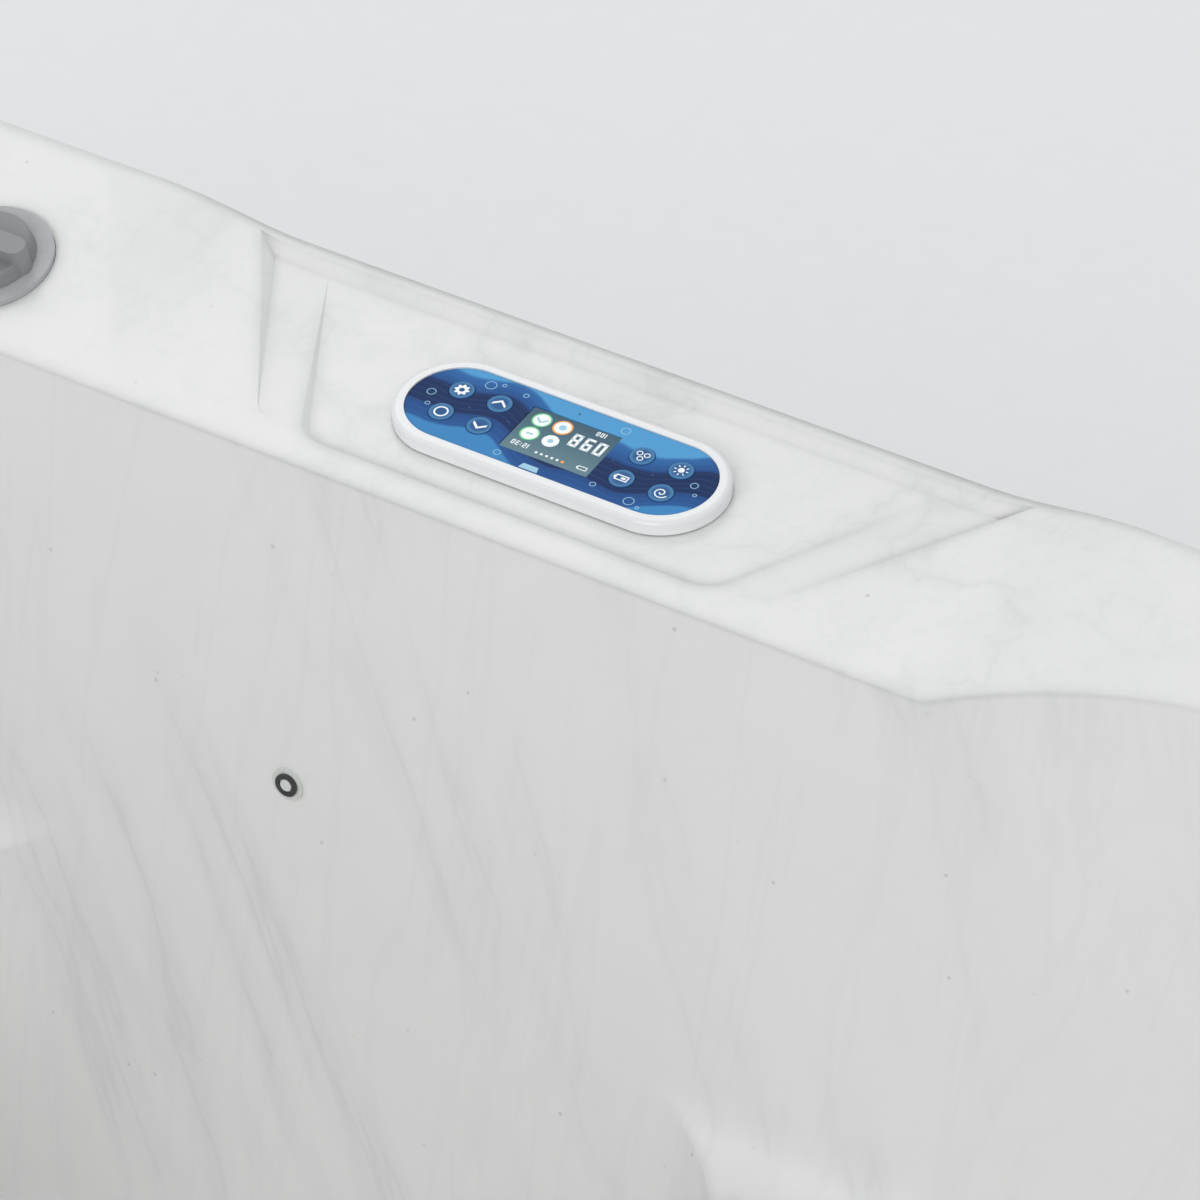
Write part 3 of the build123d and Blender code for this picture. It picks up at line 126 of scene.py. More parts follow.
# %% Shared node groups
def grain_group():
    group = bpy.data.node_groups.new("moulded_grain", "ShaderNodeTree")
    group.interface.new_socket("Scale", in_out="INPUT", socket_type="NodeSocketFloat")
    group.interface.new_socket("Depth", in_out="INPUT", socket_type="NodeSocketFloat")
    group.interface.new_socket("Tone", in_out="OUTPUT", socket_type="NodeSocketFloat")
    group.interface.new_socket("Normal", in_out="OUTPUT", socket_type="NodeSocketVector")
    entry = group.nodes.new("NodeGroupInput")
    leave = group.nodes.new("NodeGroupOutput")
    vector = place(group)
    fine = noise(group, vector, entry.outputs["Scale"], 2.0, 0.6)
    broad = noise(group, vector, 7.0, 4.0, 0.55)
    dent = add(group, "Bump", {"Strength": 0.35, "Distance": entry.outputs["Depth"], "Height": fine})
    group.links.new(broad, leave.inputs["Tone"])
    group.links.new(dent.outputs[0], leave.inputs["Normal"])
    return group


def wear_group():
    group = bpy.data.node_groups.new("rubbed_edges", "ShaderNodeTree")
    group.interface.new_socket("Mask", in_out="OUTPUT", socket_type="NodeSocketFloat")
    leave = group.nodes.new("NodeGroupOutput")
    edge = add(group, "NewGeometry").outputs["Pointiness"]
    sharp = calc(group, "MULTIPLY", calc(group, "SUBTRACT", edge, 0.52), 9.0)
    patchy = noise(group, place(group), 60.0, 3.0, 0.6)
    mask = add(group, "Math", {0: sharp, 1: patchy}, operation="MULTIPLY", use_clamp=True)
    group.links.new(mask.outputs[0], leave.inputs["Mask"])
    return group


GRAIN = grain_group()
WEAR = wear_group()


def plastic(name, colour, rough=0.45, scale=900.0, depth=0.00012, coat=0.0):
    made, tree, shader = material(name)
    grain = add(tree, "Group", node_tree=GRAIN)
    grain.inputs["Scale"].default_value = scale
    grain.inputs["Depth"].default_value = depth
    wear = add(tree, "Group", node_tree=WEAR)
    base = blend(tree, grain.outputs["Tone"], tinted(colour, 0.9), tinted(colour, 1.08))
    base = blend(tree, wear.outputs["Mask"], base, tinted(colour, 1.35))
    shine = calc(tree, "ADD", calc(tree, "MULTIPLY", grain.outputs["Tone"], 0.12), rough - 0.06)
    wire(tree, shader, Base_Color=base, Roughness=shine, Normal=grain.outputs["Normal"], Coat_Weight=coat)
    return made


def metal(name, colour, rough=0.3, stretch=(4, 400, 400), metallic=1.0):
    made, tree, shader = material(name)
    wear = add(tree, "Group", node_tree=WEAR)
    brushed = noise(tree, place(tree, stretch), 1.0, 3.0, 0.6)
    base = blend(tree, brushed, tinted(colour, 0.86), tinted(colour, 1.08))
    base = blend(tree, wear.outputs["Mask"], base, tinted(colour, 1.4))
    shine = calc(tree, "ADD", calc(tree, "MULTIPLY", brushed, 0.2), rough - 0.1)
    dent = add(tree, "Bump", {"Strength": 0.2, "Distance": 0.0001, "Height": brushed})
    wire(tree, shader, Base_Color=base, Roughness=shine, Metallic=metallic, Normal=dent.outputs[0])
    return made


print("shared effects:", GRAIN.name, WEAR.name)

# %% [markdown]
# ## The acrylic shell
# The sheet is white with faint grey marbling. Long veins run steeply through it, with patches where they fade out
# and a few darker flecks. A wide, soft rounding of the normals stands for the drawn sheet's soft edges.

# %% Marbled acrylic
SOFT_EDGE = 0.016
acrylic, tree, shader = material("marbled_acrylic")
turned = place(tree, rotation=(0.12, 0.36, 0.1))
steep = add(tree, "Mapping", {"Vector": turned, "Scale": (1.0, 0.9, 0.09)}).outputs[0]
ridge = calc(tree, "ABSOLUTE", calc(tree, "SUBTRACT", noise(tree, steep, 5.5, 5.0, 0.55, 0.25), 0.5))
veins = ramp(tree, ridge, [(0.0, grey(1)), (0.008, grey(0.5)), (0.05, grey(0))])
leaning = place(tree, rotation=(0, -0.08, 0))
upright = add(tree, "Mapping", {"Vector": leaning, "Scale": (1.3, 1.2, 0.07)}).outputs[0]
ridge_two = calc(tree, "ABSOLUTE", calc(tree, "SUBTRACT", noise(tree, upright, 11.0, 4.0, 0.6, 0.2), 0.5))
thin = ramp(tree, ridge_two, [(0.0, grey(1)), (0.03, grey(0))])
patches = ramp(tree, noise(tree, place(tree), 2.2, 3.0), [(0.42, grey(0)), (0.62, grey(1))])
cloud = noise(tree, place(tree), 11.0, 5.0, 0.6, 0.8)
base = blend(tree, cloud, (0.765, 0.768, 0.76, 1), (0.815, 0.813, 0.8, 1))
broken_veins = calc(tree, "MULTIPLY", veins, patches)
base = blend(tree, calc(tree, "MULTIPLY", broken_veins, 0.3), base, (0.5, 0.51, 0.52, 1))
base = blend(tree, calc(tree, "MULTIPLY", thin, 0.08), base, (0.55, 0.56, 0.57, 1))
cells = add(tree, "TexVoronoi", {"Vector": place(tree), "Scale": 55.0}).outputs["Distance"]
flecks = ramp(tree, cells, [(0.05, grey(1)), (0.11, grey(0))])
sparse = ramp(tree, noise(tree, place(tree), 18.0, 2.0), [(0.6, grey(0)), (0.66, grey(1))])
few_flecks = calc(tree, "MULTIPLY", flecks, sparse)
base = blend(tree, calc(tree, "MULTIPLY", few_flecks, 0.4), base, (0.3, 0.31, 0.32, 1))
soft = add(tree, "Bevel", {"Radius": SOFT_EDGE}, samples=4).outputs[0]
ripple = noise(tree, place(tree), 26.0, 2.0)
dent = add(tree, "Bump", {"Strength": 0.08, "Distance": 0.0006, "Height": ripple, "Normal": soft})
wire(tree, shader, Base_Color=base, Roughness=0.32, Normal=dent.outputs[0], Coat_Weight=0.15,
     Coat_Roughness=0.15)
print("acrylic:", len(tree.nodes), "nodes")

# %% [markdown]
# ## The cabinet boards
# The boards are moulded plastic with a wood grain. Each board between two grooves has its own tone, which comes
# from its number along the side.


# %% Wood-grained boards
BOARD_PITCH = 0.110


def boards(name, axis):
    made, tree, shader = material(name)
    source = add(tree, "TexCoord").outputs["Object"]
    along = add(tree, "SeparateXYZ", {0: source}).outputs[axis]
    number = calc(tree, "FLOOR", calc(tree, "DIVIDE", along, BOARD_PITCH))
    tone = add(tree, "TexWhiteNoise", {"W": number}, noise_dimensions="1D").outputs["Value"]
    shifted = add(tree, "CombineXYZ", {0: tone, 1: tone, 2: calc(tree, "MULTIPLY", tone, 5.0)}).outputs[0]
    stretched = place(tree, (26, 26, 1.1))
    drifted = add(tree, "VectorMath", {0: stretched, 1: shifted}, operation="ADD").outputs[0]
    streaks = noise(tree, drifted, 2.4, 8.0, 0.62, 0.5)
    pores = noise(tree, place(tree, (420, 420, 14)), 1.0, 2.0)
    wood = ramp(tree, streaks, [(0.3, (0.085, 0.078, 0.072, 1)), (0.5, (0.15, 0.14, 0.13, 1)),
                                (0.68, (0.23, 0.215, 0.2, 1))])
    wood = blend(tree, calc(tree, "MULTIPLY", tone, 0.35), wood, (0.1, 0.095, 0.09, 1))
    relief = calc(tree, "ADD", calc(tree, "MULTIPLY", pores, 0.4), streaks)
    dent = add(tree, "Bump", {"Strength": 0.5, "Distance": 0.0006, "Height": relief})
    shine = calc(tree, "ADD", calc(tree, "MULTIPLY", pores, 0.2), 0.42)
    wire(tree, shader, Base_Color=wood, Roughness=shine, Normal=dent.outputs[0])
    return made


boards_x = boards("boards_along_x", 0)
boards_y = boards("boards_along_y", 1)
print("boards:", boards_x.name, boards_y.name)

# %% [markdown]
# ## The control panel's plane
# The panel lies in a plane that falls 5.16 degrees towards the water. Everything printed on it is placed in
# millimetres: x along the rim, v outward and h off the recess floor. The person who reads it stands outside the
# tub, so text and icons are turned half a turn.

# %% Panel plane and face print
TILT = math.radians(5.16)
PANEL_AT = Vector((0, 0.955, 0.870))
ACROSS = Vector((1, 0, 0))
OUTWARD = Vector((0, math.cos(TILT), math.sin(TILT)))
UPWARD = Vector((0, -math.sin(TILT), math.cos(TILT)))
FACE_H = 10.0
KEY_H = 10.5
GLOW_R = 8.6
SCREEN_H = 9.5


def on_panel(x, v, h):
    return PANEL_AT + (ACROSS * x + OUTWARD * v + UPWARD * h) / 1000


def panel_place(tree):
    """x and v of the panel in millimetres, as two sockets."""
    source = add(tree, "TexCoord").outputs["Object"]
    offset = add(tree, "VectorMath", {0: source, 1: tuple(PANEL_AT)}, operation="SUBTRACT").outputs[0]
    x = add(tree, "VectorMath", {0: offset, 1: tuple(ACROSS * 1000)}, operation="DOT_PRODUCT").outputs["Value"]
    v = add(tree, "VectorMath", {0: offset, 1: tuple(OUTWARD * 1000)}, operation="DOT_PRODUCT").outputs["Value"]
    return x, v


def wave(tree, x, length, height, shift):
    turn = calc(tree, "ADD", calc(tree, "MULTIPLY", x, 2 * math.pi / length), shift)
    return calc(tree, "MULTIPLY", calc(tree, "SINE", turn), height)


def overlay(name):
    """Broad dunes in four blues, with fine contour lines between them."""
    made, tree, shader = material(name)
    x, v = panel_place(tree)
    swell = calc(tree, "ADD", wave(tree, x, 190.0, 11.0, 0.7), wave(tree, x, 74.0, 4.0, 2.1))
    level = calc(tree, "ADD", v, swell)
    wobble = calc(tree, "MULTIPLY", noise(tree, place(tree), 22.0, 2.0), 9.0)
    level = calc(tree, "DIVIDE", calc(tree, "ADD", calc(tree, "ADD", level, wobble), 40.0), 84.0)
    blues = ramp(tree, level, [(0.16, (0.05, 0.25, 0.55, 1)), (0.19, (0.02, 0.1, 0.32, 1)),
                               (0.33, (0.015, 0.075, 0.26, 1)), (0.36, (0.008, 0.03, 0.12, 1)),
                               (0.62, (0.008, 0.028, 0.11, 1)), (0.65, (0.016, 0.08, 0.27, 1)),
                               (0.80, (0.03, 0.15, 0.42, 1)), (0.83, (0.09, 0.36, 0.68, 1))])
    lines = calc(tree, "SINE", calc(tree, "MULTIPLY", level, 96.0))
    fine = ramp(tree, lines, [(0.93, grey(0)), (0.99, grey(1))])
    blues = blend(tree, calc(tree, "MULTIPLY", fine, 0.1), blues, (0.15, 0.4, 0.65, 1))
    grain = noise(tree, place(tree), 1500.0, 2.0)
    dent = add(tree, "Bump", {"Strength": 0.12, "Distance": 0.00005, "Height": grain})
    wire(tree, shader, Base_Color=blues, Roughness=0.4, Normal=dent.outputs[0], Specular_IOR_Level=0.12)
    return made


def key_finish(name, x_at, v_at):
    """A key's pale glow, brightest at a rim and fading to the blue of the print."""
    made, tree, shader = material(name)
    x, v = panel_place(tree)
    dx = calc(tree, "SUBTRACT", x, x_at)
    dv = calc(tree, "SUBTRACT", v, v_at)
    far = calc(tree, "SQRT", calc(tree, "ADD", calc(tree, "MULTIPLY", dx, dx), calc(tree, "MULTIPLY", dv, dv)))
    share = calc(tree, "DIVIDE", far, GLOW_R)
    glow = ramp(tree, share, [(0.0, (0.02, 0.09, 0.27, 1)), (0.6, (0.025, 0.11, 0.3, 1)),
                              (0.88, (0.07, 0.24, 0.46, 1)), (1.0, (0.02, 0.09, 0.25, 1))])
    fleck = noise(tree, place(tree), 1400.0, 2.0)
    glow = blend(tree, calc(tree, "MULTIPLY", fleck, 0.06), glow, (0.3, 0.5, 0.7, 1))
    wire(tree, shader, Base_Color=glow, Roughness=0.4, Specular_IOR_Level=0.12)
    return made


def display(name):
    """The lit display: grey-teal, paler towards the water side."""
    made, tree, shader = material(name)
    x, v = panel_place(tree)
    fade = calc(tree, "DIVIDE", calc(tree, "ADD", v, 22.0), 44.0)
    cloud = calc(tree, "MULTIPLY", noise(tree, place(tree), 60.0, 2.0), 0.14)
    level = calc(tree, "ADD", fade, cloud)
    glass = ramp(tree, level, [(0.0, (0.12, 0.2, 0.23, 1)), (0.55, (0.07, 0.14, 0.18, 1)),
                               (1.0, (0.05, 0.1, 0.14, 1))])
    wire(tree, shader, Base_Color=glass, Roughness=0.35, Emission_Color=glass, Emission_Strength=0.3,
         Specular_IOR_Level=0.12)
    return made


def ink(name, colour, glow=0.0):
    made, tree, shader = material(name)
    speck = noise(tree, place(tree), 2600.0, 2.0)
    base = blend(tree, calc(tree, "MULTIPLY", speck, 0.15), colour, tinted(colour, 0.8))
    wire(tree, shader, Base_Color=base, Roughness=0.4, Emission_Color=base, Emission_Strength=glow)
    return made


white_ink = ink("white_ink", (0.86, 0.9, 0.92, 1), 0.15)
pale_ink = ink("pale_blue_ink", (0.35, 0.64, 0.82, 1))
deep_ink = ink("deep_blue_ink", (0.012, 0.05, 0.18, 1))
green_ink = ink("green_ink", (0.12, 0.55, 0.2, 1), 0.2)
orange_ink = ink("orange_ink", (0.9, 0.32, 0.04, 1), 0.25)
print("panel finishes ready")

# %% [markdown]
# ## Printed shapes
# Each print is a thin closed plate that sits on its carrier. Its outline comes from a formula, so the plates are
# written straight into the mesh instead of being drawn by hand. Rings have an outer and an inner outline with as
# many points.


# %% Printed shapes
def circle(x, v, r, count=28):
    return [(x + r * math.cos(2 * math.pi * i / count), v + r * math.sin(2 * math.pi * i / count))
            for i in range(count)]


def hoop(x, v, r, width, count=32):
    return (circle(x, v, r, count), circle(x, v, r - width, count))


def bar(x0, v0, x1, v1):
    return [(x0, v0), (x1, v0), (x1, v1), (x0, v1)]


def stroke(points, width):
    """An outline that follows a line of points at half a width on each side."""
    left, right = [], []
    for i, (x, v) in enumerate(points):
        ax, av = points[max(i - 1, 0)]
        bx, bv = points[min(i + 1, len(points) - 1)]
        run = math.hypot(bx - ax, bv - av)
        nx, nv = -(bv - av) / run * width / 2, (bx - ax) / run * width / 2
        left.append((x + nx, v + nv))
        right.append((x - nx, v - nv))
    return left + right[::-1]


def moved(shape, x, v, turn=math.pi):
    """A shape turned for the reader and put in its place."""
    if isinstance(shape, tuple):
        return tuple(moved(loop, x, v, turn) for loop in shape)
    c, s = math.cos(turn), math.sin(turn)
    return [(x + a * c - b * s, v + a * s + b * c) for a, b in shape]


def enlarged(shape, x, v, factor):
    """A shape made larger about its own middle and put in its place."""
    if isinstance(shape, tuple):
        return tuple(enlarged(loop, x, v, factor) for loop in shape)
    return [(x + a * factor, v + b * factor) for a, b in shape]


def finish_mesh(name, verts, faces, finish, body, smooth=False):
    data = bpy.data.meshes.new(name)
    data.from_pydata([tuple(p) for p in verts], [], faces)
    shape = bmesh.new()
    shape.from_mesh(data)
    bmesh.ops.recalc_face_normals(shape, faces=shape.faces)
    shape.to_mesh(data)
    shape.free()
    made = bpy.data.objects.new(name, data)
    bpy.context.scene.collection.objects.link(made)
    data.materials.append(finish)
    if smooth:
        data.shade_smooth()
    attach(made, body)
    return made


def printed(name, shapes, height, finish, body, thick=0.12):
    verts, faces = [], []
    low, high = height - 0.05, height + thick
    for shape in shapes:
        loops = shape if isinstance(shape, tuple) else (shape,)
        count = len(loops[0])
        start = len(verts)
        for loop in loops:
            verts += [on_panel(x, v, low) for x, v in loop]
            verts += [on_panel(x, v, high) for x, v in loop]
        for k in range(len(loops)):
            first = start + 2 * k * count
            for i in range(count):
                j = (i + 1) % count
                faces.append((first + i, first + j, first + count + j, first + count + i))
        if len(loops) == 1:
            faces.append(tuple(range(start, start + count)))
            faces.append(tuple(range(start + count, start + 2 * count)))
        else:
            for level in (0, count):
                for i in range(count):
                    j = (i + 1) % count
                    inner = start + 2 * count + level
                    faces.append((start + level + i, start + level + j, inner + j, inner + i))
    return finish_mesh(name, verts, faces, finish, body)


SEGMENTS = {"0": "abcdef", "1": "bc", "2": "abged", "3": "abgcd", "4": "fgbc", "5": "afgcd", "6": "afgedc",
            "7": "abc", "8": "abcdefg", "9": "abcdfg"}


def digit(symbol, height, weight):
    half = height / 2
    wide = height * 0.52
    places = {"a": bar(0, height - weight, wide, height), "d": bar(0, 0, wide, weight),
              "g": bar(0, half - weight / 2, wide, half + weight / 2),
              "b": bar(wide - weight, half, wide, height), "c": bar(wide - weight, 0, wide, half),
              "f": bar(0, half, weight, height), "e": bar(0, 0, weight, half)}
    return [places[s] for s in SEGMENTS[symbol]]


def number(text, x, v, height, weight):
    """Digits that the reader outside the tub sees upright; x, v is the lower left corner in that view."""
    shapes = []
    shift = 0.0
    for symbol in text:
        if symbol == ":":
            shapes += [moved(circle(shift + weight, height * k, weight * 0.6, 10), x, v) for k in (0.3, 0.7)]
            shift += 3 * weight
            continue
        for shape in digit(symbol, height, weight):
            shapes.append(moved([(a + shift, b) for a, b in shape], x, v))
        shift += height * 0.52 + weight * 1.4
    return shapes


print("shapes ready:", len(SEGMENTS), "digits")

# %% [markdown]
# ## Icons, display and small prints
# The icons are plain signs: a toothed wheel, a ring, two arrows, three bubbles, a sun, a cell and a curl. The two
# arrows point up and down for someone in the water. Loose bubbles of several sizes decorate the face.

# %% Panel prints
KEYS = {"key_settings": (-84.0, 12.5), "key_light": (-84.0, -12.5), "key_up": (-54.5, 12.5),
        "key_down": (-54.5, -12.5), "key_jets": (54.5, 12.5), "key_heat": (84.0, 12.5), "key_timer": (54.5, -12.5),
        "key_air": (84.0, -12.5)}
ICON_SCALE = 1.18
WHEEL_STEPS = 32
teeth = [4.5 if i % 4 < 2 else 3.4 for i in range(WHEEL_STEPS)]
wheel = [(r * math.cos(2 * math.pi * i / WHEEL_STEPS), r * math.sin(2 * math.pi * i / WHEEL_STEPS))
         for i, r in enumerate(teeth)]
arrow = [(-4.2, -2.2), (0, 1.4), (4.2, -2.2), (4.2, -0.4), (0, 3.2), (-4.2, -0.4)]
curl = [((0.5 + 0.62 * t) * math.cos(1.45 * t), (0.5 + 0.62 * t) * math.sin(1.45 * t)) for t in
        [0.3 * i for i in range(22)]]
rays = [stroke([(2.9 * math.cos(a), 2.9 * math.sin(a)), (4.4 * math.cos(a), 4.4 * math.sin(a))], 0.7)
        for a in [math.pi * i / 4 for i in range(8)]]
ICONS = {"key_settings": [(wheel, circle(0, 0, 1.7, WHEEL_STEPS))],
         "key_light": [hoop(0, 0, 4.3, 1.0)],
         "key_up": [[(a, -b) for a, b in arrow]],
         "key_down": [arrow],
         "key_jets": [hoop(-2.3, -1.5, 1.9, 0.6), hoop(2.3, -1.5, 1.9, 0.6), hoop(0, 2.4, 1.9, 0.6)],
         "key_heat": [circle(0, 0, 1.9)] + rays,
         "key_timer": [(bar(-4, -2.3, 4, 2.3), bar(-3.2, -1.5, 3.2, 1.5)), bar(4, -1, 4.9, 1),
                       bar(-2.4, -0.8, 0.4, 0.8)],
         "key_air": [stroke(curl, 0.75)]}
for name, (x, v) in KEYS.items():
    shapes = [enlarged(moved(shape, 0, 0), x, v, ICON_SCALE) for shape in ICONS[name]]
    printed(name + "_icon", shapes, KEY_H, white_ink, name + "_body", 0.06)


def on_screen(name, shapes, finish, thick=0.12):
    return printed(name, shapes, SCREEN_H, finish, "tub", thick)


def on_face(name, shapes, finish, thick=0.05):
    return printed(name, shapes, FACE_H, finish, "tub", thick)


reading = number("098", 30.0, 12.0, 12.5, 2.0)
small = number("100", 25.0, 20.5, 4.2, 0.7) + number("12:30", -14.0, -12.0, 4.4, 0.7)
cell = [(bar(23.0, -17.5, 30.0, -14.0), bar(23.6, -16.9, 29.4, -14.6)), bar(22.3, -16.4, 23.0, -15.1)]
on_screen("display_figures", reading + small + cell, white_ink)
rounds = [(-22.0, 12.5), (-6.0, 12.5), (-22.0, -2.5), (-6.0, -2.5)]
on_screen("display_sign_faces", [circle(x, v, 5.8) for x, v in rounds], white_ink, 0.05)
marks = [moved(arrow, *rounds[0]), circle(*rounds[1], 2.6), bar(-24.5, -3.2, -19.5, -1.8),
         circle(*rounds[3], 2.0)]
on_screen("display_sign_marks", marks, pale_ink, 0.1)
on_screen("display_signs_green", [hoop(x, v, 6.9, 1.1) for x, v in (rounds[0], rounds[2])], green_ink, 0.08)
on_screen("display_sign_orange", [hoop(*rounds[1], 6.9, 1.1), circle(12.0, -16.5, 1.2, 16)], orange_ink, 0.08)
on_screen("display_dots", [circle(-8.0 + 4.0 * i, -16.5, 1.0, 14) for i in range(5)], white_ink)
bubbles = [(-101, 2, 3.2), (-97, -9, 1.8), (-70, 26, 4.0), (-62, 30, 1.6), (-30, -29, 2.6), (32, 29, 3.4),
           (41, -26, 2.2), (70, -29, 3.8), (78, -32, 1.4), (99, 4, 2.8), (104, -4, 1.5), (-44, 28, 2.0)]
on_face("face_bubbles", [hoop(x, v, r, 0.5) for x, v, r in bubbles], pale_ink)
tab = [(-10.5, -34.4), (3.7, -34.4), (2.2, -29.6), (-9.0, -29.6)]
on_face("face_tab", [tab], pale_ink)
dots = [(-70, 0), (-40, 0), (40, 0), (70, 0), (-3.4, 29)]
on_face("face_dots", [circle(x, v, 0.8, 14) for x, v in dots], deep_ink, 0.06)

# %% [markdown]
# ## Finishes of the carried-over parts
# Every part of the frame gets one of the procedural finishes. Metals are brushed, mouldings have a fine grain, and
# their edges are rubbed paler.

# %% Assign finishes
lens, tree, shader = material("pale_lens")
ribs = noise(tree, place(tree, (900, 900, 200)), 1.0, 1.0)
dent = add(tree, "Bump", {"Strength": 0.4, "Distance": 0.0002, "Height": ribs})
milky = blend(tree, ribs, (0.7, 0.72, 0.7, 1), (0.86, 0.88, 0.85, 1))
wire(tree, shader, Base_Color=milky, Roughness=0.15, Normal=dent.outputs[0], Transmission_Weight=0.15, IOR=1.49,
     Coat_Weight=0.5)

foil, tree, shader = material("foil_foam")
creases = add(tree, "TexVoronoi", {"Vector": place(tree), "Scale": 34.0}, feature="DISTANCE_TO_EDGE").outputs[0]
dent = add(tree, "Bump", {"Strength": 0.6, "Distance": 0.002, "Height": creases})
# Painted shade: the foil's colour goes darker along its creases, where the crinkles fold in and shade would fall.
shade = ramp(tree, creases, [(0.0, grey(0.42)), (0.2, grey(0.72))])
wire(tree, shader, Base_Color=shade, Roughness=0.28, Metallic=0.85, Normal=dent.outputs[0])

foam, tree, shader = material("bead_foam")
beads = add(tree, "TexVoronoi", {"Vector": place(tree), "Scale": 190.0}).outputs["Distance"]
dent = add(tree, "Bump", {"Strength": 0.5, "Distance": 0.0015, "Height": beads})
cream = ramp(tree, beads, [(0, (0.8, 0.78, 0.7, 1)), (0.7, (0.6, 0.58, 0.5, 1))])
wire(tree, shader, Base_Color=cream, Roughness=0.8, Normal=dent.outputs[0])

grey_plastic = plastic("satin_grey_plastic", (0.24, 0.25, 0.26, 1), 0.4)
light_grey = plastic("light_grey_plastic", (0.36, 0.37, 0.38, 1), 0.38)
jet_plastic = plastic("jet_grey_plastic", (0.3, 0.32, 0.34, 1), 0.25, coat=0.4)
black_plastic = plastic("black_plastic", (0.018, 0.018, 0.02, 1), 0.5)
pipe_plastic = plastic("white_pipe_plastic", (0.74, 0.74, 0.72, 1), 0.3, 300.0)
white_gloss = plastic("white_bezel", (0.8, 0.81, 0.82, 1), 0.22, 1200.0, 0.00003, 0.4)
rubber = plastic("black_rubber", (0.025, 0.025, 0.025, 1), 0.7, 1500.0)
board = plastic("green_board", (0.01, 0.12, 0.05, 1), 0.35, 700.0)
corner_plastic = plastic("corner_plastic", (0.055, 0.055, 0.058, 1), 0.5, 500.0, 0.0003)
hose = plastic("clear_hose", (0.55, 0.6, 0.6, 1), 0.2, 200.0, 0.0003)
box_plastic = plastic("box_plastic", (0.1, 0.105, 0.11, 1), 0.5)
ring_dark = plastic("dark_ring", (0.02, 0.02, 0.02, 1), 0.22, 1200.0, 0.00003, 0.5)
painted = metal("grey_paint", (0.18, 0.19, 0.2, 1), 0.5, (40, 40, 40), 0.1)
steel = metal("brushed_steel", (0.55, 0.55, 0.56, 1))
motor = metal("motor_enamel", (0.06, 0.065, 0.075, 1), 0.45, (60, 60, 60), 0.3)

finishes = {
    "shell": acrylic, "base_pan": black_plastic, "frame_rails": painted, "frame_posts": painted,
    "footwell_support": foam, "cabinet_left": boards_y, "cabinet_right": boards_y, "cabinet_back": boards_x,
    "service_panel": boards_x, "corner_posts": corner_plastic, "cabinet_screws": steel, "insulation_sheets": foil,
    "panel_bezel": white_gloss, "panel_gasket": rubber, "panel_housing": black_plastic,
    "panel_face": overlay("printed_face"), "panel_board": board, "panel_screen": display("lit_display"),
    "panel_switches": black_plastic, "point_light_bodies": lens, "point_light_rings": ring_dark,
    "point_light_lenses": lens, "rim_valve_bodies": pipe_plastic, "rim_valve_plates": light_grey,
    "diverter_front": grey_plastic, "diverter_right": grey_plastic, "air_knob_left": grey_plastic,
    "air_knob_back": grey_plastic, "filter_housing": pipe_plastic, "mouth_frame": light_grey,
    "weir_door": light_grey, "filter_cartridge": pipe_plastic, "filter_lid": light_grey, "jet_bodies": pipe_plastic,
    "wall_fittings": light_grey, "main_lamp": lens, "pump_motor": motor, "pump_wet_end": black_plastic,
    "pump_rotor": steel, "control_box": box_plastic, "heater": steel, "water_pipes": pipe_plastic,
    "jet_hoses": hose, "headrests": rubber, "drain_valve": black_plastic, "drain_cap": grey_plastic}
for i in range(1, 7):
    finishes[f"jet_face_{i}"] = jet_plastic
for name, (x, v) in KEYS.items():
    finishes[name] = key_finish(name + "_finish", x, v)
for name, finish in finishes.items():
    for entry in nodes[name].material_slots:
        entry.material = finish
print("finishes on", len(finishes), "of", len(nodes), "parts")

# %% [markdown]
# ## Headrests
# Three soft pads sit high on the seat backs. Each is a pillow-shaped section swept round the seat back, thinner
# towards its ends, with two sewn-in channels. The section is a formula, so it is written into the mesh directly.


# %% Headrests
LOBE_AT = 0.538
LOBE_R = 0.385
INNER_Z = 0.866
LEAN = math.tan(math.radians(10.8))
PAD_SWEEP = math.radians(19.4)
PAD_DEPTH = 0.038
PAD_Z = 0.802
PAD_HALF = 0.044
PAD_GAP = 0.0012


def back_radius(z):
    return LOBE_R - (INNER_Z - z) * LEAN


def power(value, exponent):
    return math.copysign(abs(value) ** exponent, value)


soft_skin, tree, shader = material("headrest_skin")
pebble = add(tree, "TexVoronoi", {"Vector": place(tree), "Scale": 420.0}).outputs["Distance"]
dent = add(tree, "Bump", {"Strength": 0.35, "Distance": 0.0004, "Height": pebble})
mottled = noise(tree, place(tree), 14.0, 4.0)
skin = blend(tree, mottled, (0.055, 0.057, 0.06, 1), (0.085, 0.088, 0.092, 1))
wire(tree, shader, Base_Color=skin, Roughness=0.55, Normal=dent.outputs[0], Sheen_Weight=0.15)


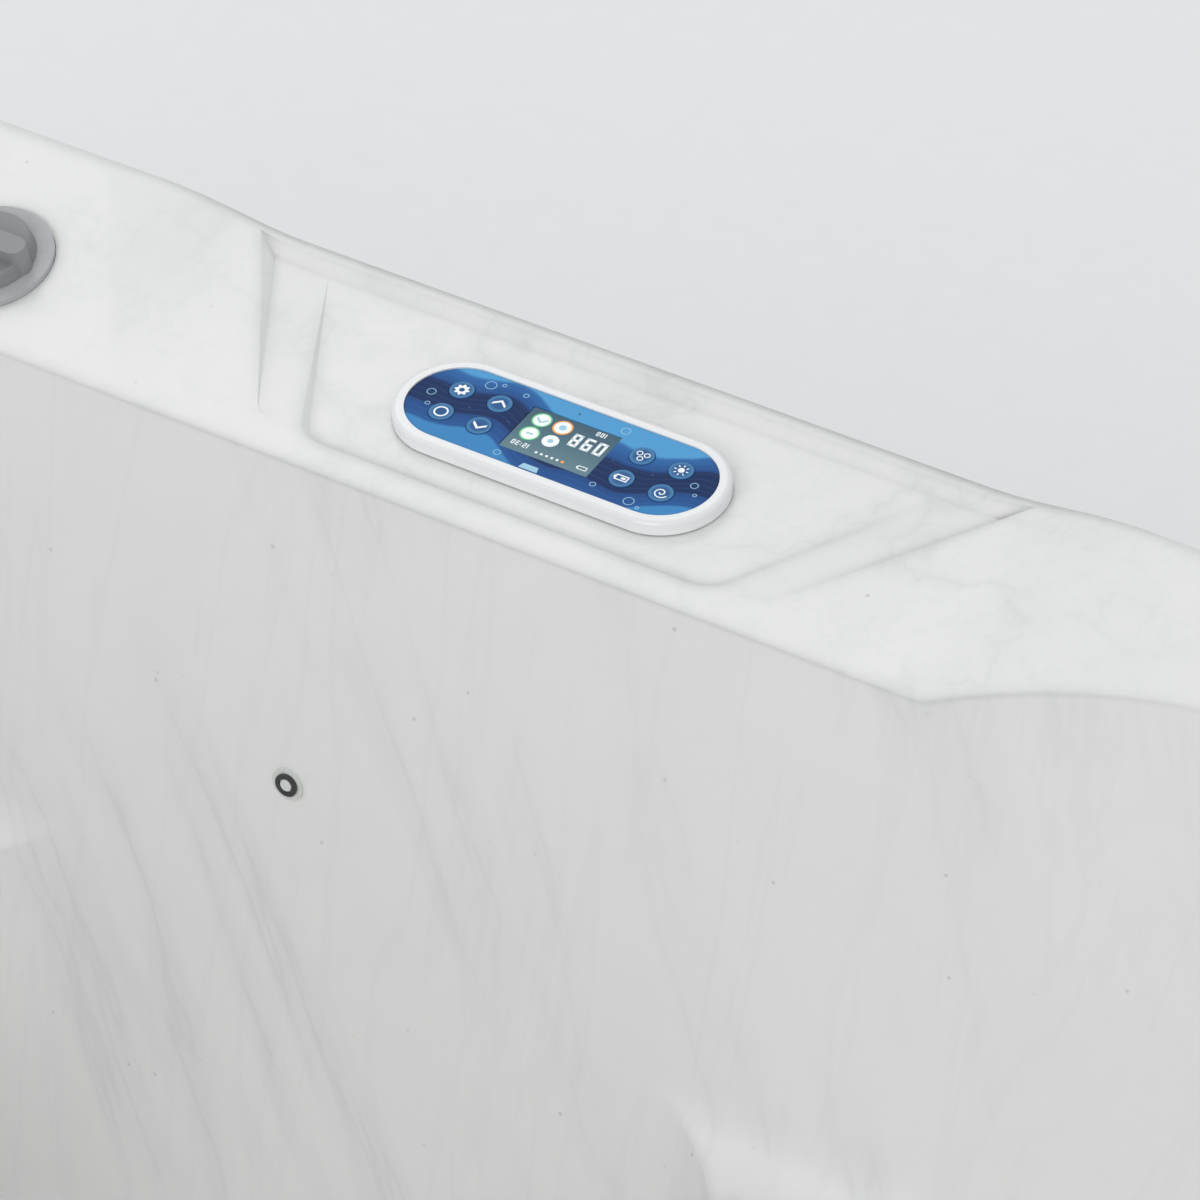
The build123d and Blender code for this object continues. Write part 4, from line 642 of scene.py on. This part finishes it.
def headrest(name, sx, sy):
    middle = math.atan2(sy, sx)
    rows, columns = 61, 32
    verts, faces = [], []
    for i in range(rows):
        s = -1 + 2 * i / (rows - 1)
        end = max(0.02, 1 - abs(s) ** 5) ** 0.45
        channel = 1 - 0.16 * sum(math.exp(-((s - k) / 0.045) ** 2) for k in (-0.36, 0.36))
        a = middle + PAD_SWEEP * s
        for j in range(columns):
            phi = 2 * math.pi * j / columns
            depth = PAD_DEPTH * end * channel * (0.5 + 0.5 * power(math.cos(phi), 0.7))
            z = PAD_Z + PAD_HALF * (0.75 + 0.25 * end) * power(math.sin(phi), 0.75)
            r = back_radius(z) - PAD_GAP - depth
            verts.append((sx * LOBE_AT + r * math.cos(a), sy * LOBE_AT + r * math.sin(a), z))
    for i in range(rows - 1):
        for j in range(columns):
            k = (j + 1) % columns
            faces.append((i * columns + j, i * columns + k, (i + 1) * columns + k, (i + 1) * columns + j))
    faces.append(tuple(range(columns)))
    faces.append(tuple(range((rows - 1) * columns, rows * columns)))
    made = finish_mesh(name, verts, faces, soft_skin, "tub", True)
    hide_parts("headrests")
    return made


for name, sx, sy in (("front_right", 1, 1), ("back_right", 1, -1), ("back_left", -1, -1)):
    pad = headrest("headrest_" + name, sx, sy)
    print(pad.name, len(pad.data.polygons), "faces")

# %% [markdown]
# ## Filter cartridge
# The cartridge has a folded fleece between two end caps. The fleece is one closed ring of pleats, so its outline
# zigzags between two radii.


# %% Pleated cartridge
def ring_solid(name, outline, hole, low, high, centre, finish):
    """A closed ring between two heights, from an outer radius for each step round and one hole radius."""
    count = len(outline)
    verts, faces = [], []
    for z in (low, high):
        for radii in (outline, [hole] * count):
            for i, r in enumerate(radii):
                a = 2 * math.pi * i / count
                verts.append((centre[0] + r * math.cos(a), centre[1] + r * math.sin(a), z))
    for i in range(count):
        j = (i + 1) % count
        faces.append((i, j, 2 * count + j, 2 * count + i))
        faces.append((count + i, 3 * count + i, 3 * count + j, count + j))
        faces.append((i, count + i, count + j, j))
        faces.append((2 * count + i, 2 * count + j, 3 * count + j, 3 * count + i))
    return finish_mesh(name, verts, faces, finish, "tub")


fleece, tree, shader = material("filter_fleece")
fibre = noise(tree, place(tree, (900, 900, 300)), 1.0, 4.0, 0.7)
dent = add(tree, "Bump", {"Strength": 0.5, "Distance": 0.0003, "Height": fibre})
woven = blend(tree, fibre, (0.62, 0.66, 0.68, 1), (0.86, 0.88, 0.88, 1))
wire(tree, shader, Base_Color=woven, Roughness=0.9, Normal=dent.outputs[0])
cap_blue = plastic("cap_blue", (0.05, 0.16, 0.34, 1), 0.5)
PLEATS = 66
FOLD_OUT, FOLD_IN, FLEECE_HOLE = 0.0462, 0.0385, 0.0215
CAP_R, CAP_HOLE, CAP_STEPS = 0.05, 0.02, 72
FOOT_Z, FLEECE_Z, HEAD_Z, TOP_Z = 0.454, 0.468, 0.670, 0.684
CARTRIDGE_AT = (0.0, -0.948)
folds = [FOLD_OUT if i % 2 else FOLD_IN for i in range(2 * PLEATS)]
pleats = ring_solid("cartridge_pleats", folds, FLEECE_HOLE, FLEECE_Z, HEAD_Z, CARTRIDGE_AT, fleece)
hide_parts("filter_cartridge")
for name, low, high in (("cartridge_foot", FOOT_Z, FLEECE_Z), ("cartridge_head", HEAD_Z, TOP_Z)):
    cap = ring_solid(name, [CAP_R] * CAP_STEPS, CAP_HOLE, low, high, CARTRIDGE_AT, cap_blue)
    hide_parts("filter_cartridge")
print("cartridge with", PLEATS, "pleats")

# %% [markdown]
# ## Insulation
# The foil-faced sheets behind the cabinet are quilted. Both faces are grids that swell between the stitches.


# %% Quilted sheets
PUFF = 0.003
STITCH_DEPTH = 0.0045


def quilted(name, half, low, high, inner, outer, turn):
    columns, rows = 84, 40
    verts, faces = [], []
    for face in (0, 1):
        for i in range(rows + 1):
            for j in range(columns + 1):
                u = -half + 2 * half * j / columns
                z = low + (high - low) * i / rows
                edge = min(j, columns - j, i, rows - i)
                puff = PUFF * abs(math.sin(math.pi * j / 7) * math.sin(math.pi * i / 5)) * (edge > 0)
                out = inner + STITCH_DEPTH - puff if face == 0 else outer - STITCH_DEPTH + puff
                c, s = math.cos(turn), math.sin(turn)
                verts.append((u * c - out * s, u * s + out * c, z))
    step = columns + 1
    other = (rows + 1) * step
    for i in range(rows):
        for j in range(columns):
            a = i * step + j
            faces.append((a, a + 1, a + step + 1, a + step))
            faces.append((other + a, other + a + step, other + a + step + 1, other + a + 1))
    rim = [j for j in range(columns)] + [i * step + columns for i in range(rows)]
    rim += [rows * step + columns - j for j in range(columns)] + [(rows - i) * step for i in range(rows)]
    for k, a in enumerate(rim):
        b = rim[(k + 1) % len(rim)]
        faces.append((a, b, other + b, other + a))
    return finish_mesh(name, verts, faces, foil, "tub", True)


SHEETS = {"insulation_left": (0.8, 90), "insulation_right": (0.8, 270), "insulation_back": (0.43, 180)}
for name, (high, degrees) in SHEETS.items():
    sheet = quilted(name, 0.838, 0.05, high, 0.988, 1.010, math.radians(degrees))
    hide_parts("insulation_sheets")
    print(sheet.name, len(sheet.data.polygons), "faces")

# %% [markdown]
# ## Floor, light and camera
# A pale floor, an even white surround and two large soft lamps give the flat daylight of the photograph. The camera
# looks down over the water side of the rim at the control panel.

# %% Stage, light and camera
ground_finish, tree, shader = material("pale_floor")
fine = noise(tree, place(tree), 30.0, 4.0)
wire(tree, shader, Base_Color=blend(tree, fine, grey(0.9), grey(0.93)), Roughness=0.85)
ground_data = bpy.data.meshes.new("floor")
ground_data.from_pydata([(-9, -9, 0), (9, -9, 0), (9, 9, 0), (-9, 9, 0)], [], [(0, 1, 2, 3)])
ground = bpy.data.objects.new("floor", ground_data)
ground_data.materials.append(ground_finish)
bpy.context.scene.collection.objects.link(ground)

world = bpy.data.worlds.new("surround")
world.use_nodes = True
world.node_tree.nodes["Background"].inputs[0].default_value = (0.97, 0.985, 1.0, 1)
world.node_tree.nodes["Background"].inputs[1].default_value = 0.76
bpy.context.scene.world = world


def lamp(name, where, target, size, power_w, colour):
    data = bpy.data.lights.new(name, "AREA")
    data.shape = "DISK"
    data.size = size
    data.energy = power_w
    data.color = colour
    made = bpy.data.objects.new(name, data)
    made.location = where
    made.rotation_euler = (Vector(target) - Vector(where)).to_track_quat("-Z", "Y").to_euler()
    bpy.context.scene.collection.objects.link(made)
    return made


lamp("key_lamp", (-2.2, 2.6, 4.2), (0, 0.8, 0.8), 2.4, 20, (1.0, 0.99, 0.97))
lamp("front_lamp", (0.4, -2.4, 2.6), (0, 0.85, 0.6), 2.6, 38, (1.0, 0.995, 0.985))

right = Vector((0.8462, 0.5329, 0))
back = Vector((0.4233, -0.6722, 0.6074))
camera_data = bpy.data.cameras.new("camera")
camera_data.lens = 163.2
camera_data.sensor_width = 36
camera_data.clip_end = 100
camera = bpy.data.objects.new("camera", camera_data)
facing = Matrix((right, back.cross(right), back)).transposed()
camera.matrix_world = Matrix.Translation((1.5406, -1.4442, 2.9304)) @ facing.to_4x4()
bpy.context.scene.collection.objects.link(camera)
bpy.context.scene.camera = camera
bpy.context.scene.view_settings.view_transform = "Standard"
print("camera at", tuple(round(c, 3) for c in camera.location))

# %% [markdown]
# ## Final update
# The view layer is brought up to date at the end. The box of the looks has to stay the
# box of the frame.

# %% Finish
bpy.context.view_layer.update()
